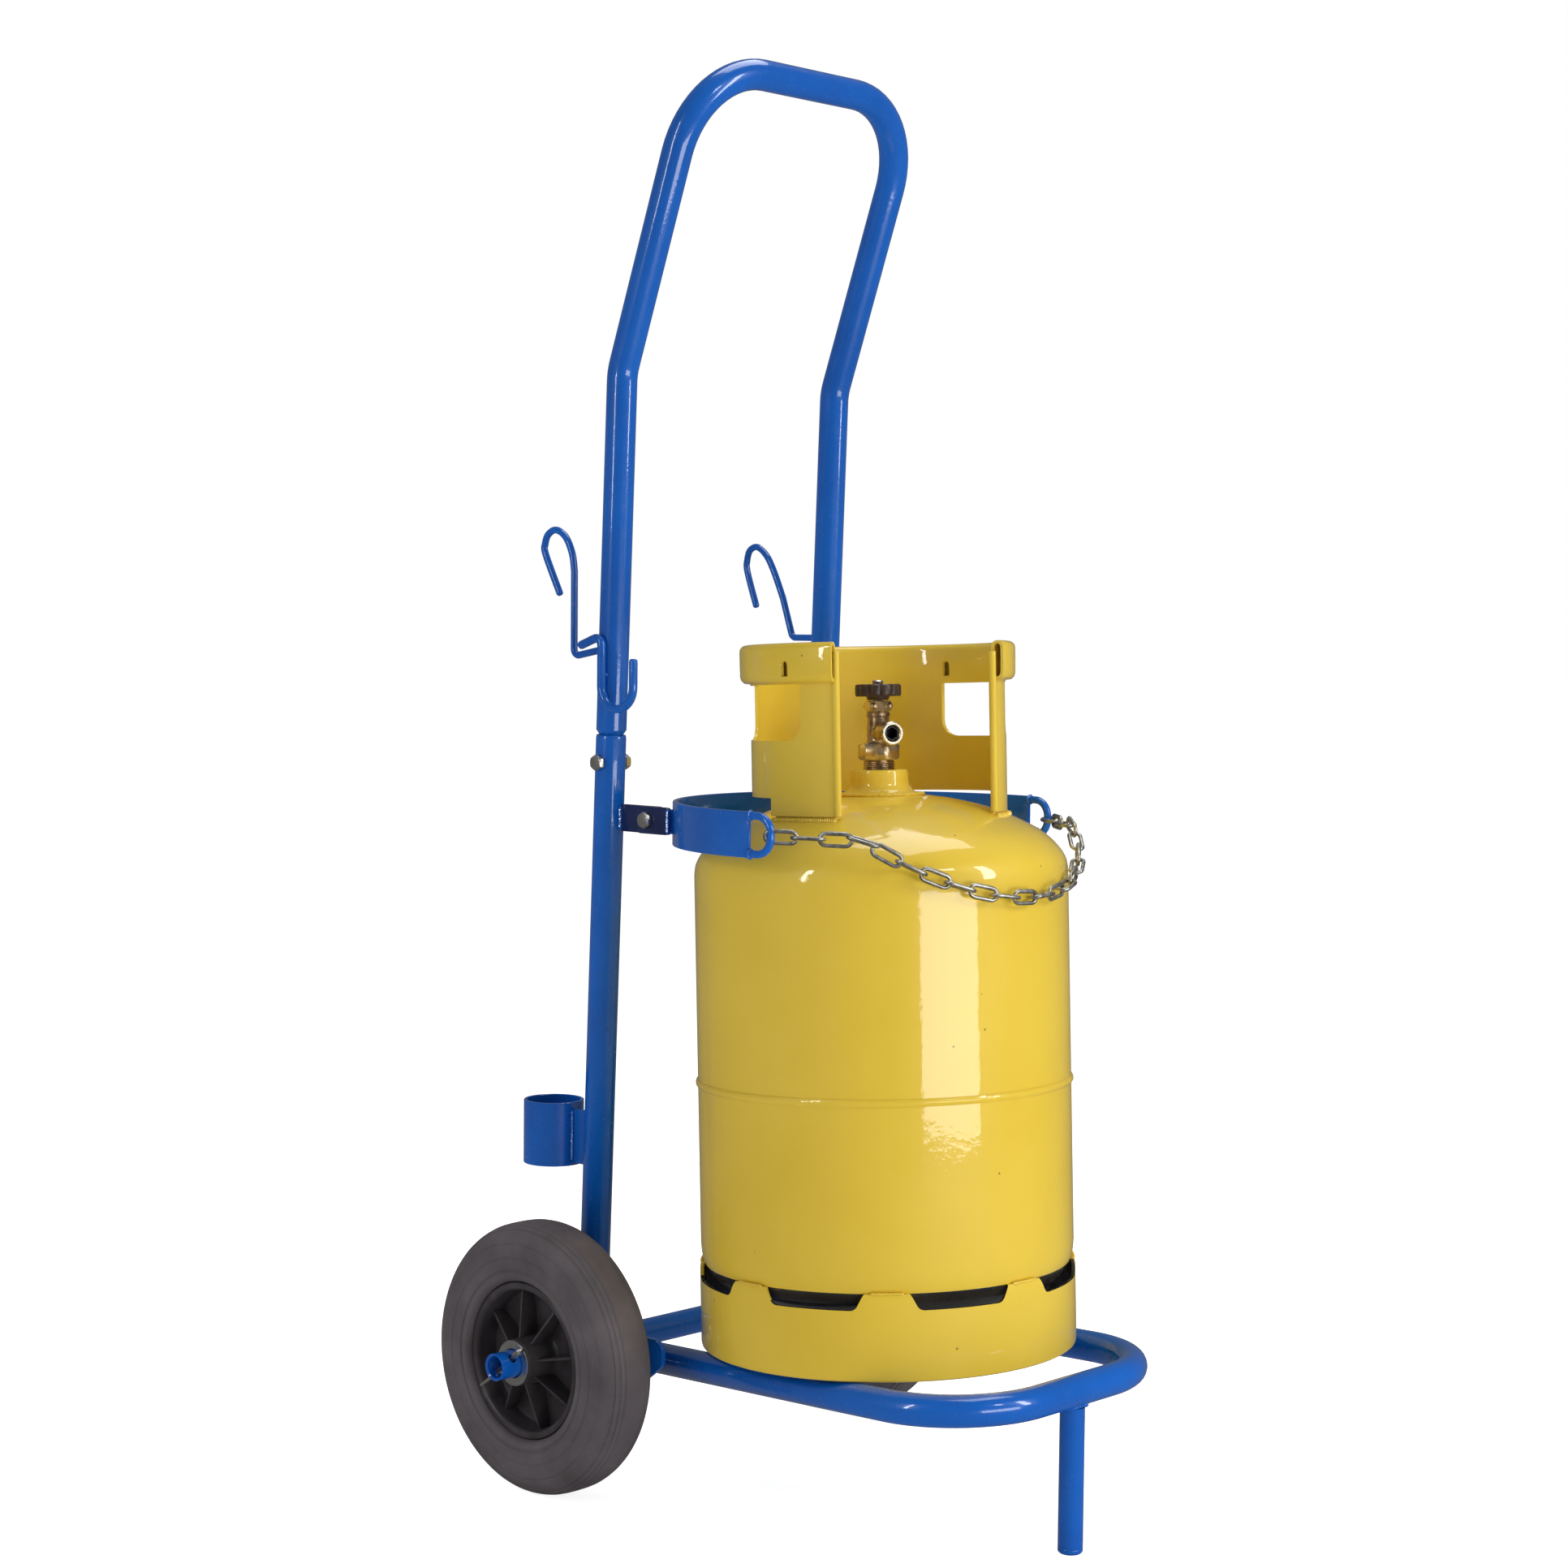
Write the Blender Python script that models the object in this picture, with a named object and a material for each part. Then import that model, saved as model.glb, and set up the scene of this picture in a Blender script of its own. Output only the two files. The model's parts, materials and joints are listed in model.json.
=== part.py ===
"""Gas-cylinder trolley with one cylinder: a bent-tube hand cart on two solid-rubber wheels.

Metres, +Z up. The load side faces -Y, the wheels' common axis runs along X, and the floor is z = 0.
The root empty moves the axle-based design so that its bounding box is centred on the origin.
"""
import math

import bmesh
import bpy
from mathutils import Matrix, Vector

for old_object in list(bpy.data.objects):
    bpy.data.objects.remove(old_object, do_unlink=True)

# ---- Driving dimensions -------------------------------------------------------------------------
GAP = 0.0003                  # running gap left between pieces that touch

TUBE_R = 0.014                # frame tubing, 28 mm outside
TUBE_WALL = 0.0018
TUBE_SIDES = 16
HALF_SPACING = 0.143          # from the middle to each upright's centre line

WHEEL_R = 0.125               # 250 x 60 mm solid-rubber wheel
WHEEL_WIDTH = 0.060
WHEEL_X = 0.206
WHEEL_SEGMENTS = 36
RIM_R = 0.072
HUB_R = 0.023
HUB_INNER_X = 0.1660
HUB_OUTER_X = 0.2410
HUB_BORE_R = 0.01295
RIB_COUNT = 8

AXLE_R = 0.0125               # 25 mm tube through both hubs
AXLE_WALL = 0.0025
AXLE_HALF_LENGTH = 0.266
AXLE_Z = WHEEL_R
SPLIT_PIN_X = 0.252
WASHER_R = 0.0208
WASHER_THICK = 0.0025

LEAN = math.radians(2.0)      # the uprights lean forward by this much
UPRIGHT_Y = 0.002             # centre line at axle height
UPRIGHT_FOOT_Z = 0.1384
SEAM_Z = 0.702                # where the handle drops into the uprights
SPIGOT_R = 0.0113
SPIGOT_FOOT_Z = 0.646
HANDLE_BOLT_Z = 0.672
BEND_Z = 1.029                # the handle bends forward here
SLANT = math.radians(19.9)
HANDLE_TOP_Z = 1.297
HANDLE_CORNER_R = 0.082
HANDLE_BEND_R = 0.055

LOOP_FRONT_Y = -0.457         # base loop, which rises slightly towards the front
LOOP_REAR_Y = -0.0175
LOOP_SLOPE = 0.0385
LOOP_CORNER_R = 0.092
LOOP_BOLT_Y = (-0.031, -0.076)
LEG_R = 0.011
LEG_Y = -0.4545

RING_R = 0.194                # half-ring that holds the cylinder, outside radius
RING_THICK = 0.005
RING_Y = -0.231
RING_Z = (0.600, 0.640)
RING_HALF_ANGLE = math.radians(94)
TAB_THICK = 0.005
TAB_Z = (0.609, 0.634)
TAB_BOLT_Y = -0.071

PLATE_THICK = 0.005
BOLT_R = 0.004                # M8 fasteners
BOLT_HOLE_R = 0.0046
HEX_R = 0.0075                # across corners / 2
HEAD_HEIGHT = 0.0053
NUT_HEIGHT = 0.0060

STAPLE_R = 0.0035
STAPLE_REACH = 0.024
STAPLE_HALF_HEIGHT = 0.0165

HOSE_HOOK_R = 0.0033
TORCH_HOOK_R = 0.0040

HOLDER_R = 0.0285             # rod holder behind the left upright
HOLDER_WALL = 0.003
HOLDER_Y = 0.058
HOLDER_Z = (0.290, 0.350)

CYLINDER_R = 0.170            # steel gas cylinder, measured in its own upright frame
CYLINDER_Y = -0.242
CYLINDER_SEGMENTS = 36
SHELL = 0.003
GIRTH_Z = 0.240
FOOT_RING_R = 0.1692
FOOT_RING_TOP = 0.075
FOOT_SLOTS = 8
COLLAR_R = 0.116
COLLAR_TOP = 0.636
COLLAR_FOOT = 0.4832
COLLAR_FACING = math.radians(-116)   # direction the collar's opening faces, seen from above
COLLAR_HALF_OPENING = math.radians(41)
VALVE_SEGMENTS = 20

CHAIN_R = 0.0058              # envelope of the securing chain
CHAIN_Z = 0.6195
CHAIN_SAG = 0.053             # the chain hangs below the dome's shoulder, against the wall
TAIL_LENGTH = 0.104
TAIL_BACK = 0.015             # from the staple's tip to the loose links


# ---- Materials ----------------------------------------------------------------------------------
def make_material(name, colour, metallic, roughness):
    material = bpy.data.materials.new(name)
    material.use_nodes = True
    shader = material.node_tree.nodes["Principled BSDF"]
    shader.inputs["Base Color"].default_value = (*colour, 1.0)
    shader.inputs["Metallic"].default_value = metallic
    shader.inputs["Roughness"].default_value = roughness
    material.diffuse_color = (*colour, 1.0)
    return material


BLUE = make_material("blue_enamel", (0.010, 0.100, 0.430), 0.0, 0.30)
YELLOW = make_material("yellow_enamel", (0.800, 0.560, 0.040), 0.0, 0.35)
ZINC = make_material("zinc_plate", (0.720, 0.720, 0.700), 1.0, 0.35)
RUBBER = make_material("black_rubber", (0.030, 0.028, 0.028), 0.0, 0.75)
PLASTIC = make_material("black_plastic", (0.012, 0.012, 0.014), 0.0, 0.50)
BRASS = make_material("brass", (0.560, 0.380, 0.180), 1.0, 0.40)
KNOB = make_material("dark_knob", (0.060, 0.040, 0.030), 0.0, 0.45)


# ---- Shape helpers ------------------------------------------------------------------------------
def add_object(name, data, material, parent, location=(0, 0, 0)):
    piece = bpy.data.objects.new(name, data)
    bpy.context.scene.collection.objects.link(piece)
    if material is not None:
        data.materials.append(material)
    piece.parent = parent
    piece.location = location
    return piece


def add_empty(name, parent, location, tilt=0.0):
    empty = bpy.data.objects.new(name, None)
    bpy.context.scene.collection.objects.link(empty)
    empty.parent = parent
    empty.location = location
    empty.rotation_euler = (tilt, 0, 0)
    return empty


def mesh_from(name, vertices, faces, smooth_angle=40):
    """Closed mesh with its faces turned outwards."""
    shape = bmesh.new()
    corners = [shape.verts.new(vertex) for vertex in vertices]
    for face in faces:
        shape.faces.new([corners[index] for index in face])
    bmesh.ops.recalc_face_normals(shape, faces=shape.faces)
    mesh = bpy.data.meshes.new(name)
    shape.to_mesh(mesh)
    shape.free()
    mesh.shade_smooth()
    mesh.set_sharp_from_angle(angle=math.radians(smooth_angle))
    return mesh


def revolve(name, profile, segments, start=0.0, sweep=math.tau):
    """Turn a closed (radius, height) outline about Z, all the way round or through part of a turn."""
    whole = abs(sweep - math.tau) < 1e-6
    rings = segments if whole else segments + 1
    vertices = []
    for ring in range(rings):
        angle = start + sweep * ring / segments
        vertices += [(r * math.cos(angle), r * math.sin(angle), z) for r, z in profile]
    count = len(profile)
    faces = []
    for ring in range(segments):
        this, after = ring * count, (ring + 1) % rings * count
        for point in range(count):
            follow = (point + 1) % count
            faces.append((this + point, this + follow, after + follow, after + point))
    if not whole:
        faces.append(tuple(range(count)))
        faces.append(tuple(range(segments * count, rings * count)))
    return mesh_from(name, vertices, faces)


def prism(name, outline, low, high, axis="Z"):
    """Extrude a flat outline from low to high along Z, or along X for a (y, z) outline."""
    order = (lambda a, b, c: (a, b, c)) if axis == "Z" else (lambda a, b, c: (c, a, b))
    count = len(outline)
    vertices = [order(a, b, low) for a, b in outline] + [order(a, b, high) for a, b in outline]
    faces = [tuple(range(count)), tuple(range(count, 2 * count))]
    for point in range(count):
        follow = (point + 1) % count
        faces.append((point, follow, count + follow, count + point))
    return mesh_from(name, vertices, faces)


def box(name, low, high):
    outline = [(low[0], low[1]), (high[0], low[1]), (high[0], high[1]), (low[0], high[1])]
    return prism(name, outline, low[2], high[2])


def polygon(radius, sides, turn=0.0):
    return [(radius * math.cos(turn + math.tau * n / sides), radius * math.sin(turn + math.tau * n / sides))
            for n in range(sides)]


def rounded_path(corners, radii, steps=6):
    """Points along straight runs joined by arcs of the given radius at each inner corner."""
    corners = [Vector(corner) for corner in corners]
    points = [corners[0]]
    for index in range(1, len(corners) - 1):
        corner = corners[index]
        back = (corners[index - 1] - corner).normalized()
        ahead = (corners[index + 1] - corner).normalized()
        half = back.angle(ahead) / 2
        reach = radii[index - 1] / math.tan(half)
        centre = corner + (back + ahead).normalized() * radii[index - 1] / math.sin(half)
        first = corner + back * reach - centre
        turn = math.pi - 2 * half
        spin_axis = first.cross(corner + ahead * reach - centre).normalized()
        for step in range(steps + 1):
            points.append(centre + Matrix.Rotation(turn * step / steps, 3, spin_axis) @ first)
    points.append(corners[-1])
    return points


def bar_curve(name, points, radius, sides, filled, thickness=None):
    """Round bar along the points; thickness gives each point's share of the full radius."""
    curve = bpy.data.curves.new(name, "CURVE")
    curve.dimensions = "3D"
    curve.bevel_depth = radius
    curve.bevel_resolution = sides // 2 - 2
    curve.use_fill_caps = filled
    spline = curve.splines.new("POLY")
    spline.points.add(len(points) - 1)
    for index, point in enumerate(points):
        spline.points[index].co = (*point, 1.0)
        spline.points[index].radius = thickness[index] if thickness else 1.0
    spline.use_smooth = True
    return curve


def rod(name, points, radius, material, parent, sides=8):
    return add_object(name, bar_curve(name, points, radius, sides, True), material, parent)


def pipe(name, points, radius, wall, material, parent, sides=TUBE_SIDES, thickness=None):
    """Open-ended tube: a bevelled curve turned into a skin, then given its wall inwards."""
    curve = bar_curve(name + "_route", points, radius, sides, False, thickness)
    guide = bpy.data.objects.new(name + "_route", curve)
    bpy.context.scene.collection.objects.link(guide)
    bpy.context.view_layer.update()
    skin = bpy.data.meshes.new_from_object(guide.evaluated_get(bpy.context.evaluated_depsgraph_get()))
    bpy.data.objects.remove(guide, do_unlink=True)
    shape = bmesh.new()
    shape.from_mesh(skin)
    bmesh.ops.remove_doubles(shape, verts=shape.verts, dist=1e-6)
    bmesh.ops.recalc_face_normals(shape, faces=shape.faces)
    shape.to_mesh(skin)
    shape.free()
    skin.materials.clear()
    tube = add_object(name, skin, material, parent)
    solid = tube.modifiers.new("wall", "SOLIDIFY")
    solid.thickness = wall
    solid.offset = -1.0
    solid.use_even_offset = True
    return tube


def make_cutter(name, mesh, parent, location=(0, 0, 0), rotation=None):
    cutter = add_object(name, mesh, None, parent, location)
    if rotation is not None:
        cutter.rotation_euler = rotation
    cutter.hide_render = True
    cutter.display_type = "WIRE"
    return cutter


def bore_cutter(name, centre, axis, radius, half_length, parent, sides=12):
    """Round cutter through centre along axis."""
    mesh = prism(name, polygon(radius, sides), -half_length, half_length)
    mesh.transform(Vector((0, 0, 1)).rotation_difference(Vector(axis)).to_matrix().to_4x4())
    return make_cutter(name, mesh, parent, centre)


def boolean(target, tool, operation="DIFFERENCE"):
    step = target.modifiers.new(tool.name, "BOOLEAN")
    step.operation = operation
    step.solver = "EXACT"
    step.object = tool


def upright_y(height):
    return UPRIGHT_Y - math.tan(LEAN) * (height - AXLE_Z)


def loop_z(y):
    """Height of the base loop's centre line, which climbs away from the axle."""
    return AXLE_Z - LOOP_SLOPE * y


# ---- Fasteners ----------------------------------------------------------------------------------
def hex_bolt(name, seat, direction, grip, parent):
    """M8 screw: its head sits on seat and its shank runs along direction for grip."""
    head = prism(name, polygon(HEX_R, 6), -HEAD_HEIGHT, 0.0)
    head.transform(Vector((0, 0, 1)).rotation_difference(Vector(direction)).to_matrix().to_4x4())
    piece = add_object(name, head, ZINC, parent, seat)
    shank = prism(name + "_shank", polygon(BOLT_R, 10), -HEAD_HEIGHT / 2, grip)
    shank.transform(Vector((0, 0, 1)).rotation_difference(Vector(direction)).to_matrix().to_4x4())
    boolean(piece, make_cutter(name + "_shank", shank, parent, seat), "UNION")
    return piece


def hex_nut(name, seat, direction, parent):
    """M8 nut whose near face sits on seat; the screw's shank passes through it."""
    outline = polygon(HEX_R, 6)
    bore = polygon(BOLT_R + GAP, 12)
    vertices = []
    for height in (0.0, NUT_HEIGHT):
        vertices += [(x, y, height) for x, y in outline] + [(x, y, height) for x, y in bore]
    faces = []
    for side in range(6):
        after = (side + 1) % 6
        faces.append((side, after, 18 + after, 18 + side))
    for side in range(12):
        after = (side + 1) % 12
        faces.append((6 + side, 6 + after, 24 + after, 24 + side))
    for base in (0, 18):
        for side in range(6):
            after = (side + 1) % 6
            inner = [base + 6 + (2 * side + k) % 12 for k in (2, 1, 0)]
            faces.append((base + side, base + after, *inner))
    mesh = mesh_from(name, vertices, faces)
    mesh.transform(Vector((0, 0, 1)).rotation_difference(Vector(direction)).to_matrix().to_4x4())
    return add_object(name, mesh, ZINC, parent, seat)


# ---- Frame --------------------------------------------------------------------------------------
def build_handle(root):
    """One tube bent into an upside-down U; its ends are swaged to slide into the uprights."""
    top_y = upright_y(BEND_Z) - math.tan(SLANT) * (HANDLE_TOP_Z - BEND_Z)
    corners = [(-HALF_SPACING, upright_y(SEAM_Z), SEAM_Z),
               (-HALF_SPACING, upright_y(BEND_Z), BEND_Z),
               (-HALF_SPACING, top_y, HANDLE_TOP_Z),
               (HALF_SPACING, top_y, HANDLE_TOP_Z),
               (HALF_SPACING, upright_y(BEND_Z), BEND_Z),
               (HALF_SPACING, upright_y(SEAM_Z), SEAM_Z)]
    radii = [HANDLE_BEND_R, HANDLE_CORNER_R, HANDLE_CORNER_R, HANDLE_BEND_R]
    middle = rounded_path(corners, radii, 7)
    swage = 0.004
    foot = [(-HALF_SPACING, upright_y(z), z) for z in (SPIGOT_FOOT_Z, SEAM_Z - swage)]
    end = [(HALF_SPACING, y, z) for _, y, z in reversed(foot)]
    share = SPIGOT_R / TUBE_R
    thickness = [share, share] + [1.0] * len(middle) + [share, share]
    return pipe("handle", foot + middle + end, TUBE_R, TUBE_WALL, BLUE, root, thickness=thickness)


def build_upright(side, name, root):
    x = side * HALF_SPACING
    top = SEAM_Z - 0.0045
    points = [(x, upright_y(UPRIGHT_FOOT_Z), UPRIGHT_FOOT_Z), (x, upright_y(top), top)]
    return pipe(name, points, TUBE_R, TUBE_WALL, BLUE, root)


def build_handle_joint(side, word, handle, upright, root):
    """Cross bolt that pins the handle's swaged end inside the upright."""
    y = upright_y(HANDLE_BOLT_Z)
    centre = (side * HALF_SPACING, y, HANDLE_BOLT_Z)
    cutter = bore_cutter(word + "_handle_bolt_hole", centre, (1, 0, 0), BOLT_HOLE_R, 0.03, root)
    boolean(handle, cutter)
    boolean(upright, cutter)
    reach = TUBE_R + GAP
    outer = (side * (HALF_SPACING + reach), y, HANDLE_BOLT_Z)
    inner = (side * (HALF_SPACING - reach), y, HANDLE_BOLT_Z)
    hex_bolt(word + "_handle_bolt", outer, (-side, 0, 0), 2 * reach + NUT_HEIGHT + 0.001, root)
    hex_nut(word + "_handle_nut", inner, (-side, 0, 0), root)


def build_loop(root):
    """Base loop that the cylinder stands on."""
    corners = [(-HALF_SPACING, LOOP_REAR_Y, loop_z(LOOP_REAR_Y)),
               (-HALF_SPACING, LOOP_FRONT_Y, loop_z(LOOP_FRONT_Y)),
               (HALF_SPACING, LOOP_FRONT_Y, loop_z(LOOP_FRONT_Y)),
               (HALF_SPACING, LOOP_REAR_Y, loop_z(LOOP_REAR_Y))]
    points = rounded_path(corners, [LOOP_CORNER_R, LOOP_CORNER_R], 7)
    return pipe("base_loop", points, TUBE_R, TUBE_WALL, BLUE, root)


def build_leg(root):
    """Front leg: a capped tube, closed at the floor and open under the loop."""
    top = loop_z(LEG_Y) - TUBE_R - GAP
    wall = 0.002
    profile = [(0.0005, 0.0), (LEG_R - wall, 0.0), (LEG_R, wall), (LEG_R, top), (LEG_R - wall, top),
               (LEG_R - wall, 0.004), (0.0005, 0.004)]
    return add_object("front_leg", revolve("front_leg", profile, 16), BLUE, root, (0, LEG_Y, 0))


def build_axle(root):
    points = [(-AXLE_HALF_LENGTH, 0, AXLE_Z), (AXLE_HALF_LENGTH, 0, AXLE_Z)]
    return pipe("axle_tube", points, AXLE_R, AXLE_WALL, BLUE, root, sides=20)


def build_axle_plate(side, word, loop, root):
    """Side plate welded to the axle and upright; two bolts hold the loop's end on its inner face."""
    inner = HALF_SPACING + TUBE_R + GAP
    outline = [(0.021, 0.104), (0.021, 0.147), (-0.104, 0.151), (-0.112, 0.144), (-0.112, 0.128),
               (-0.086, 0.108), (-0.070, 0.104)]
    low, high = sorted((side * inner, side * (inner + PLATE_THICK)))
    plate = add_object(word + "_axle_plate", prism(word + "_axle_plate", outline, low, high, "X"), BLUE, root)
    axle_hole = bore_cutter(word + "_plate_axle_hole", (side * inner, 0, AXLE_Z), (1, 0, 0),
                            AXLE_R + GAP, 0.02, root, 20)
    boolean(plate, axle_hole)
    for number, y in enumerate(LOOP_BOLT_Y, 1):
        z = loop_z(y)
        hole = bore_cutter(f"{word}_loop_bolt_hole_{number}", (side * HALF_SPACING, y, z), (1, 0, 0),
                           BOLT_HOLE_R, 0.03, root)
        boolean(loop, hole)
        boolean(plate, hole)
        reach = TUBE_R + GAP
        seat = (side * (HALF_SPACING - reach), y, z)
        far = (side * (inner + PLATE_THICK + GAP), y, z)
        grip = 2 * reach + PLATE_THICK + NUT_HEIGHT + 0.0015
        hex_bolt(f"{word}_loop_bolt_{number}", seat, (side, 0, 0), grip, root)
        hex_nut(f"{word}_loop_nut_{number}", far, (side, 0, 0), root)


# ---- Cylinder ring and chain --------------------------------------------------------------------
def ring_point(angle, radius, z):
    """Point on the half-ring; angle 0 is at the back, next to the uprights."""
    return (radius * math.sin(angle), RING_Y + radius * math.cos(angle), z)


def build_ring(root):
    steps = 26
    angles = [-RING_HALF_ANGLE + 2 * RING_HALF_ANGLE * n / steps for n in range(steps + 1)]
    outer = [ring_point(angle, RING_R, 0)[:2] for angle in angles]
    inner = [ring_point(angle, RING_R - RING_THICK, 0)[:2] for angle in reversed(angles)]
    return add_object("cylinder_ring", prism("cylinder_ring", outer + inner, *RING_Z), BLUE, root)


def build_ring_tabs(side, word, root):
    """Two overlapping tabs, one on the upright and one on the ring, with a bolt through both."""
    x = side * HALF_SPACING
    upright_face = upright_y(TAB_Z[1]) - TUBE_R - GAP
    tabs = []
    spans = {"upright_tab": (upright_face, -0.084, -GAP, -TAB_THICK - GAP),
             "ring_tab": (-0.058, -0.0992, 0.0, TAB_THICK)}
    for part, (rear, front, near, far) in spans.items():
        low, high = sorted((x + side * near, x + side * far))
        name = f"{word}_{part}"
        mesh = box(name, (low, front, TAB_Z[0]), (high, rear, TAB_Z[1]))
        tabs.append(add_object(name, mesh, BLUE, root))
    z = sum(TAB_Z) / 2
    hole = bore_cutter(word + "_tab_hole", (x, TAB_BOLT_Y, z), (1, 0, 0), BOLT_HOLE_R, 0.02, root)
    for tab in tabs:
        boolean(tab, hole)
    outer = (x + side * (TAB_THICK + GAP), TAB_BOLT_Y, z)
    inner = (x - side * (TAB_THICK + 2 * GAP), TAB_BOLT_Y, z)
    grip = 2 * TAB_THICK + 3 * GAP + NUT_HEIGHT + 0.0015
    hex_bolt(word + "_ring_bolt", outer, (-side, 0, 0), grip, root)
    hex_nut(word + "_ring_nut", inner, (-side, 0, 0), root)


def staple_route(side):
    """U of round bar standing forward from one end of the half-ring."""
    middle = sum(RING_Z) / 2
    end = Vector(ring_point(side * RING_HALF_ANGLE, RING_R - RING_THICK / 2, middle))
    ahead = Vector((-side * math.sin(RING_HALF_ANGLE - math.pi / 2), -math.cos(RING_HALF_ANGLE - math.pi / 2), 0))
    rise = Vector((0, 0, STAPLE_HALF_HEIGHT))
    start = end + ahead * GAP
    tip = end + ahead * STAPLE_REACH
    return [start + rise, tip + rise, tip - rise, start - rise]


def build_staple(side, word, root):
    points = rounded_path(staple_route(side), [0.0150, 0.0150], 5)
    return rod(word + "_chain_staple", points, STAPLE_R, BLUE, root, 10)


def cylinder_axis_y(height):
    """Where the leaning cylinder's axis is at a height."""
    return CYLINDER_Y + LOOP_SLOPE * (height - cylinder_foot_z())


def cylinder_foot_z():
    return loop_z(CYLINDER_Y) + TUBE_R * math.sqrt(1 + LOOP_SLOPE ** 2) + GAP


def chain_route(z):
    """Route from staple to staple: straight to the cylinder, sagging round its front and straight back."""
    centre_y = cylinder_axis_y(z)
    wrap_r = CYLINDER_R + CHAIN_R + 0.004
    tip = (staple_route(1)[1] + staple_route(1)[2]) / 2
    start = Vector((tip.x, tip.y - STAPLE_R - GAP - CHAIN_R, z))
    offset = start - Vector((0, centre_y, z))
    angle = math.atan2(offset.x, -offset.y)
    touch = angle - math.acos(wrap_r / offset.length)
    points = [start]
    steps = 16
    for step in range(steps + 1):
        share = step / steps
        turn = touch - 2 * touch * share
        height = z - CHAIN_SAG * (0.04 + 0.96 * 4 * share * (1 - share))
        points.append(Vector((wrap_r * math.sin(turn), centre_y - wrap_r * math.cos(turn), height)))
    points.append(Vector((-start.x, start.y, z)))
    return points


def build_chain(root):
    return rod("securing_chain", chain_route(CHAIN_Z), CHAIN_R, ZINC, root)


def tail_pivot():
    """The loose links hang on the straight part of the right staple's lower arm, and swing about it."""
    tip, root_end = staple_route(1)[2:]
    return tip + (root_end - tip).normalized() * TAIL_BACK


def build_chain_tail(root):
    pivot = tail_pivot()
    top = -STAPLE_R - GAP
    points = [(0, 0, top - 0.0005), (0, 0, top - TAIL_LENGTH)]
    tail = rod("chain_tail", points, CHAIN_R, ZINC, root)
    tail.location = pivot
    return tail


# ---- Hooks and rod holder -----------------------------------------------------------------------
def hook_seat(z):
    """Back of the handle tube at the height where a hose hook is welded on."""
    return upright_y(z - HOSE_HOOK_R) + TUBE_R + 3 * GAP


def build_hose_hook(side, word, stem, root):
    """Bent wire hook behind the handle tube; stem lists its (y, z) corners."""
    x = side * HALF_SPACING
    corners = [(x, y, z) for y, z in stem]
    radii = [0.006, 0.030, 0.0125, 0.0125]
    return rod(word + "_hose_hook", rounded_path(corners, radii, 5), HOSE_HOOK_R, BLUE, root)


def build_torch_hook(root):
    """J-shaped bar on the outside of the left handle tube, open at the top in front."""
    x = -HALF_SPACING - TUBE_R - TORCH_HOOK_R - GAP
    corners = [(x, 0.006, 0.779), (x, -0.0235, 0.789), (x, -0.0235, 0.722), (x, -0.066, 0.722),
               (x, -0.066, 0.768)]
    return rod("torch_hook", rounded_path(corners, [0.007, 0.0205, 0.0205], 6), TORCH_HOOK_R, BLUE, root, 10)


def build_rod_holder(root):
    low, high = HOLDER_Z
    profile = [(HOLDER_R, low), (HOLDER_R, high), (HOLDER_R - HOLDER_WALL, high), (HOLDER_R - HOLDER_WALL, low)]
    mesh = revolve("rod_holder", profile, 24)
    add_object("rod_holder", mesh, BLUE, root, (-HALF_SPACING, HOLDER_Y, 0))
    rear_face = upright_y(low) + TUBE_R + GAP
    plate = box("rod_holder_plate", (-0.0025, rear_face, low + 0.003),
                (0.0025, HOLDER_Y - HOLDER_R - GAP, high - 0.006))
    add_object("rod_holder_plate", plate, BLUE, root, (-HALF_SPACING, 0, 0))


# ---- Wheels -------------------------------------------------------------------------------------
def along_x(mesh, side):
    """Turn a mesh made about Z so that its +Z points outwards along X on the given side."""
    mesh.transform(Matrix.Rotation(side * math.pi / 2, 4, "Y"))
    return mesh


def build_wheel(side, word, root):
    hub_axis = add_empty(word + "_wheel_axis", root, (side * WHEEL_X, 0, AXLE_Z))
    half = WHEEL_WIDTH / 2
    inner = [(RIM_R + GAP, -half + 0.006), (RIM_R + GAP, half - 0.006)]
    tread = [(0.078, half), (0.104, half), (0.1165, half - 0.004), (0.1225, half - 0.011), (WHEEL_R, half - 0.022)]
    profile = inner + tread + [(r, -z) for r, z in reversed(tread)]
    tyre = along_x(revolve(word + "_tyre", profile, WHEEL_SEGMENTS), side)
    add_object(word + "_tyre", tyre, RUBBER, hub_axis)

    rim_half = half - 0.007
    web = 0.0025
    outer_hub = HUB_OUTER_X - WHEEL_X
    inner_hub = HUB_INNER_X - WHEEL_X
    profile = [(RIM_R, -rim_half), (RIM_R, rim_half), (RIM_R - 0.006, rim_half), (RIM_R - 0.008, web),
               (HUB_R, web), (HUB_R - 0.002, outer_hub), (HUB_BORE_R, outer_hub),
               (HUB_BORE_R, inner_hub), (HUB_R - 0.002, inner_hub), (HUB_R, -web),
               (RIM_R - 0.008, -web), (RIM_R - 0.006, -rim_half)]
    rim = add_object(word + "_rim", along_x(revolve(word + "_rim", profile, WHEEL_SEGMENTS), side), PLASTIC, hub_axis)
    ribs = bmesh.new()
    for number in range(RIB_COUNT):
        rib = bmesh.ops.create_cube(ribs, size=1.0)["verts"]
        bmesh.ops.scale(ribs, verts=rib, vec=(0.050, 0.0035, 0.036))
        bmesh.ops.translate(ribs, verts=rib, vec=(0.0425, 0, 0))
        turn = Matrix.Rotation(math.tau * (number + 0.25) / RIB_COUNT, 3, "Z")
        bmesh.ops.rotate(ribs, verts=rib, cent=(0, 0, 0), matrix=turn)
    mesh = bpy.data.meshes.new(word + "_ribs")
    ribs.to_mesh(mesh)
    ribs.free()
    boolean(rim, make_cutter(word + "_ribs", along_x(mesh, side), hub_axis), "UNION")


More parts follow.
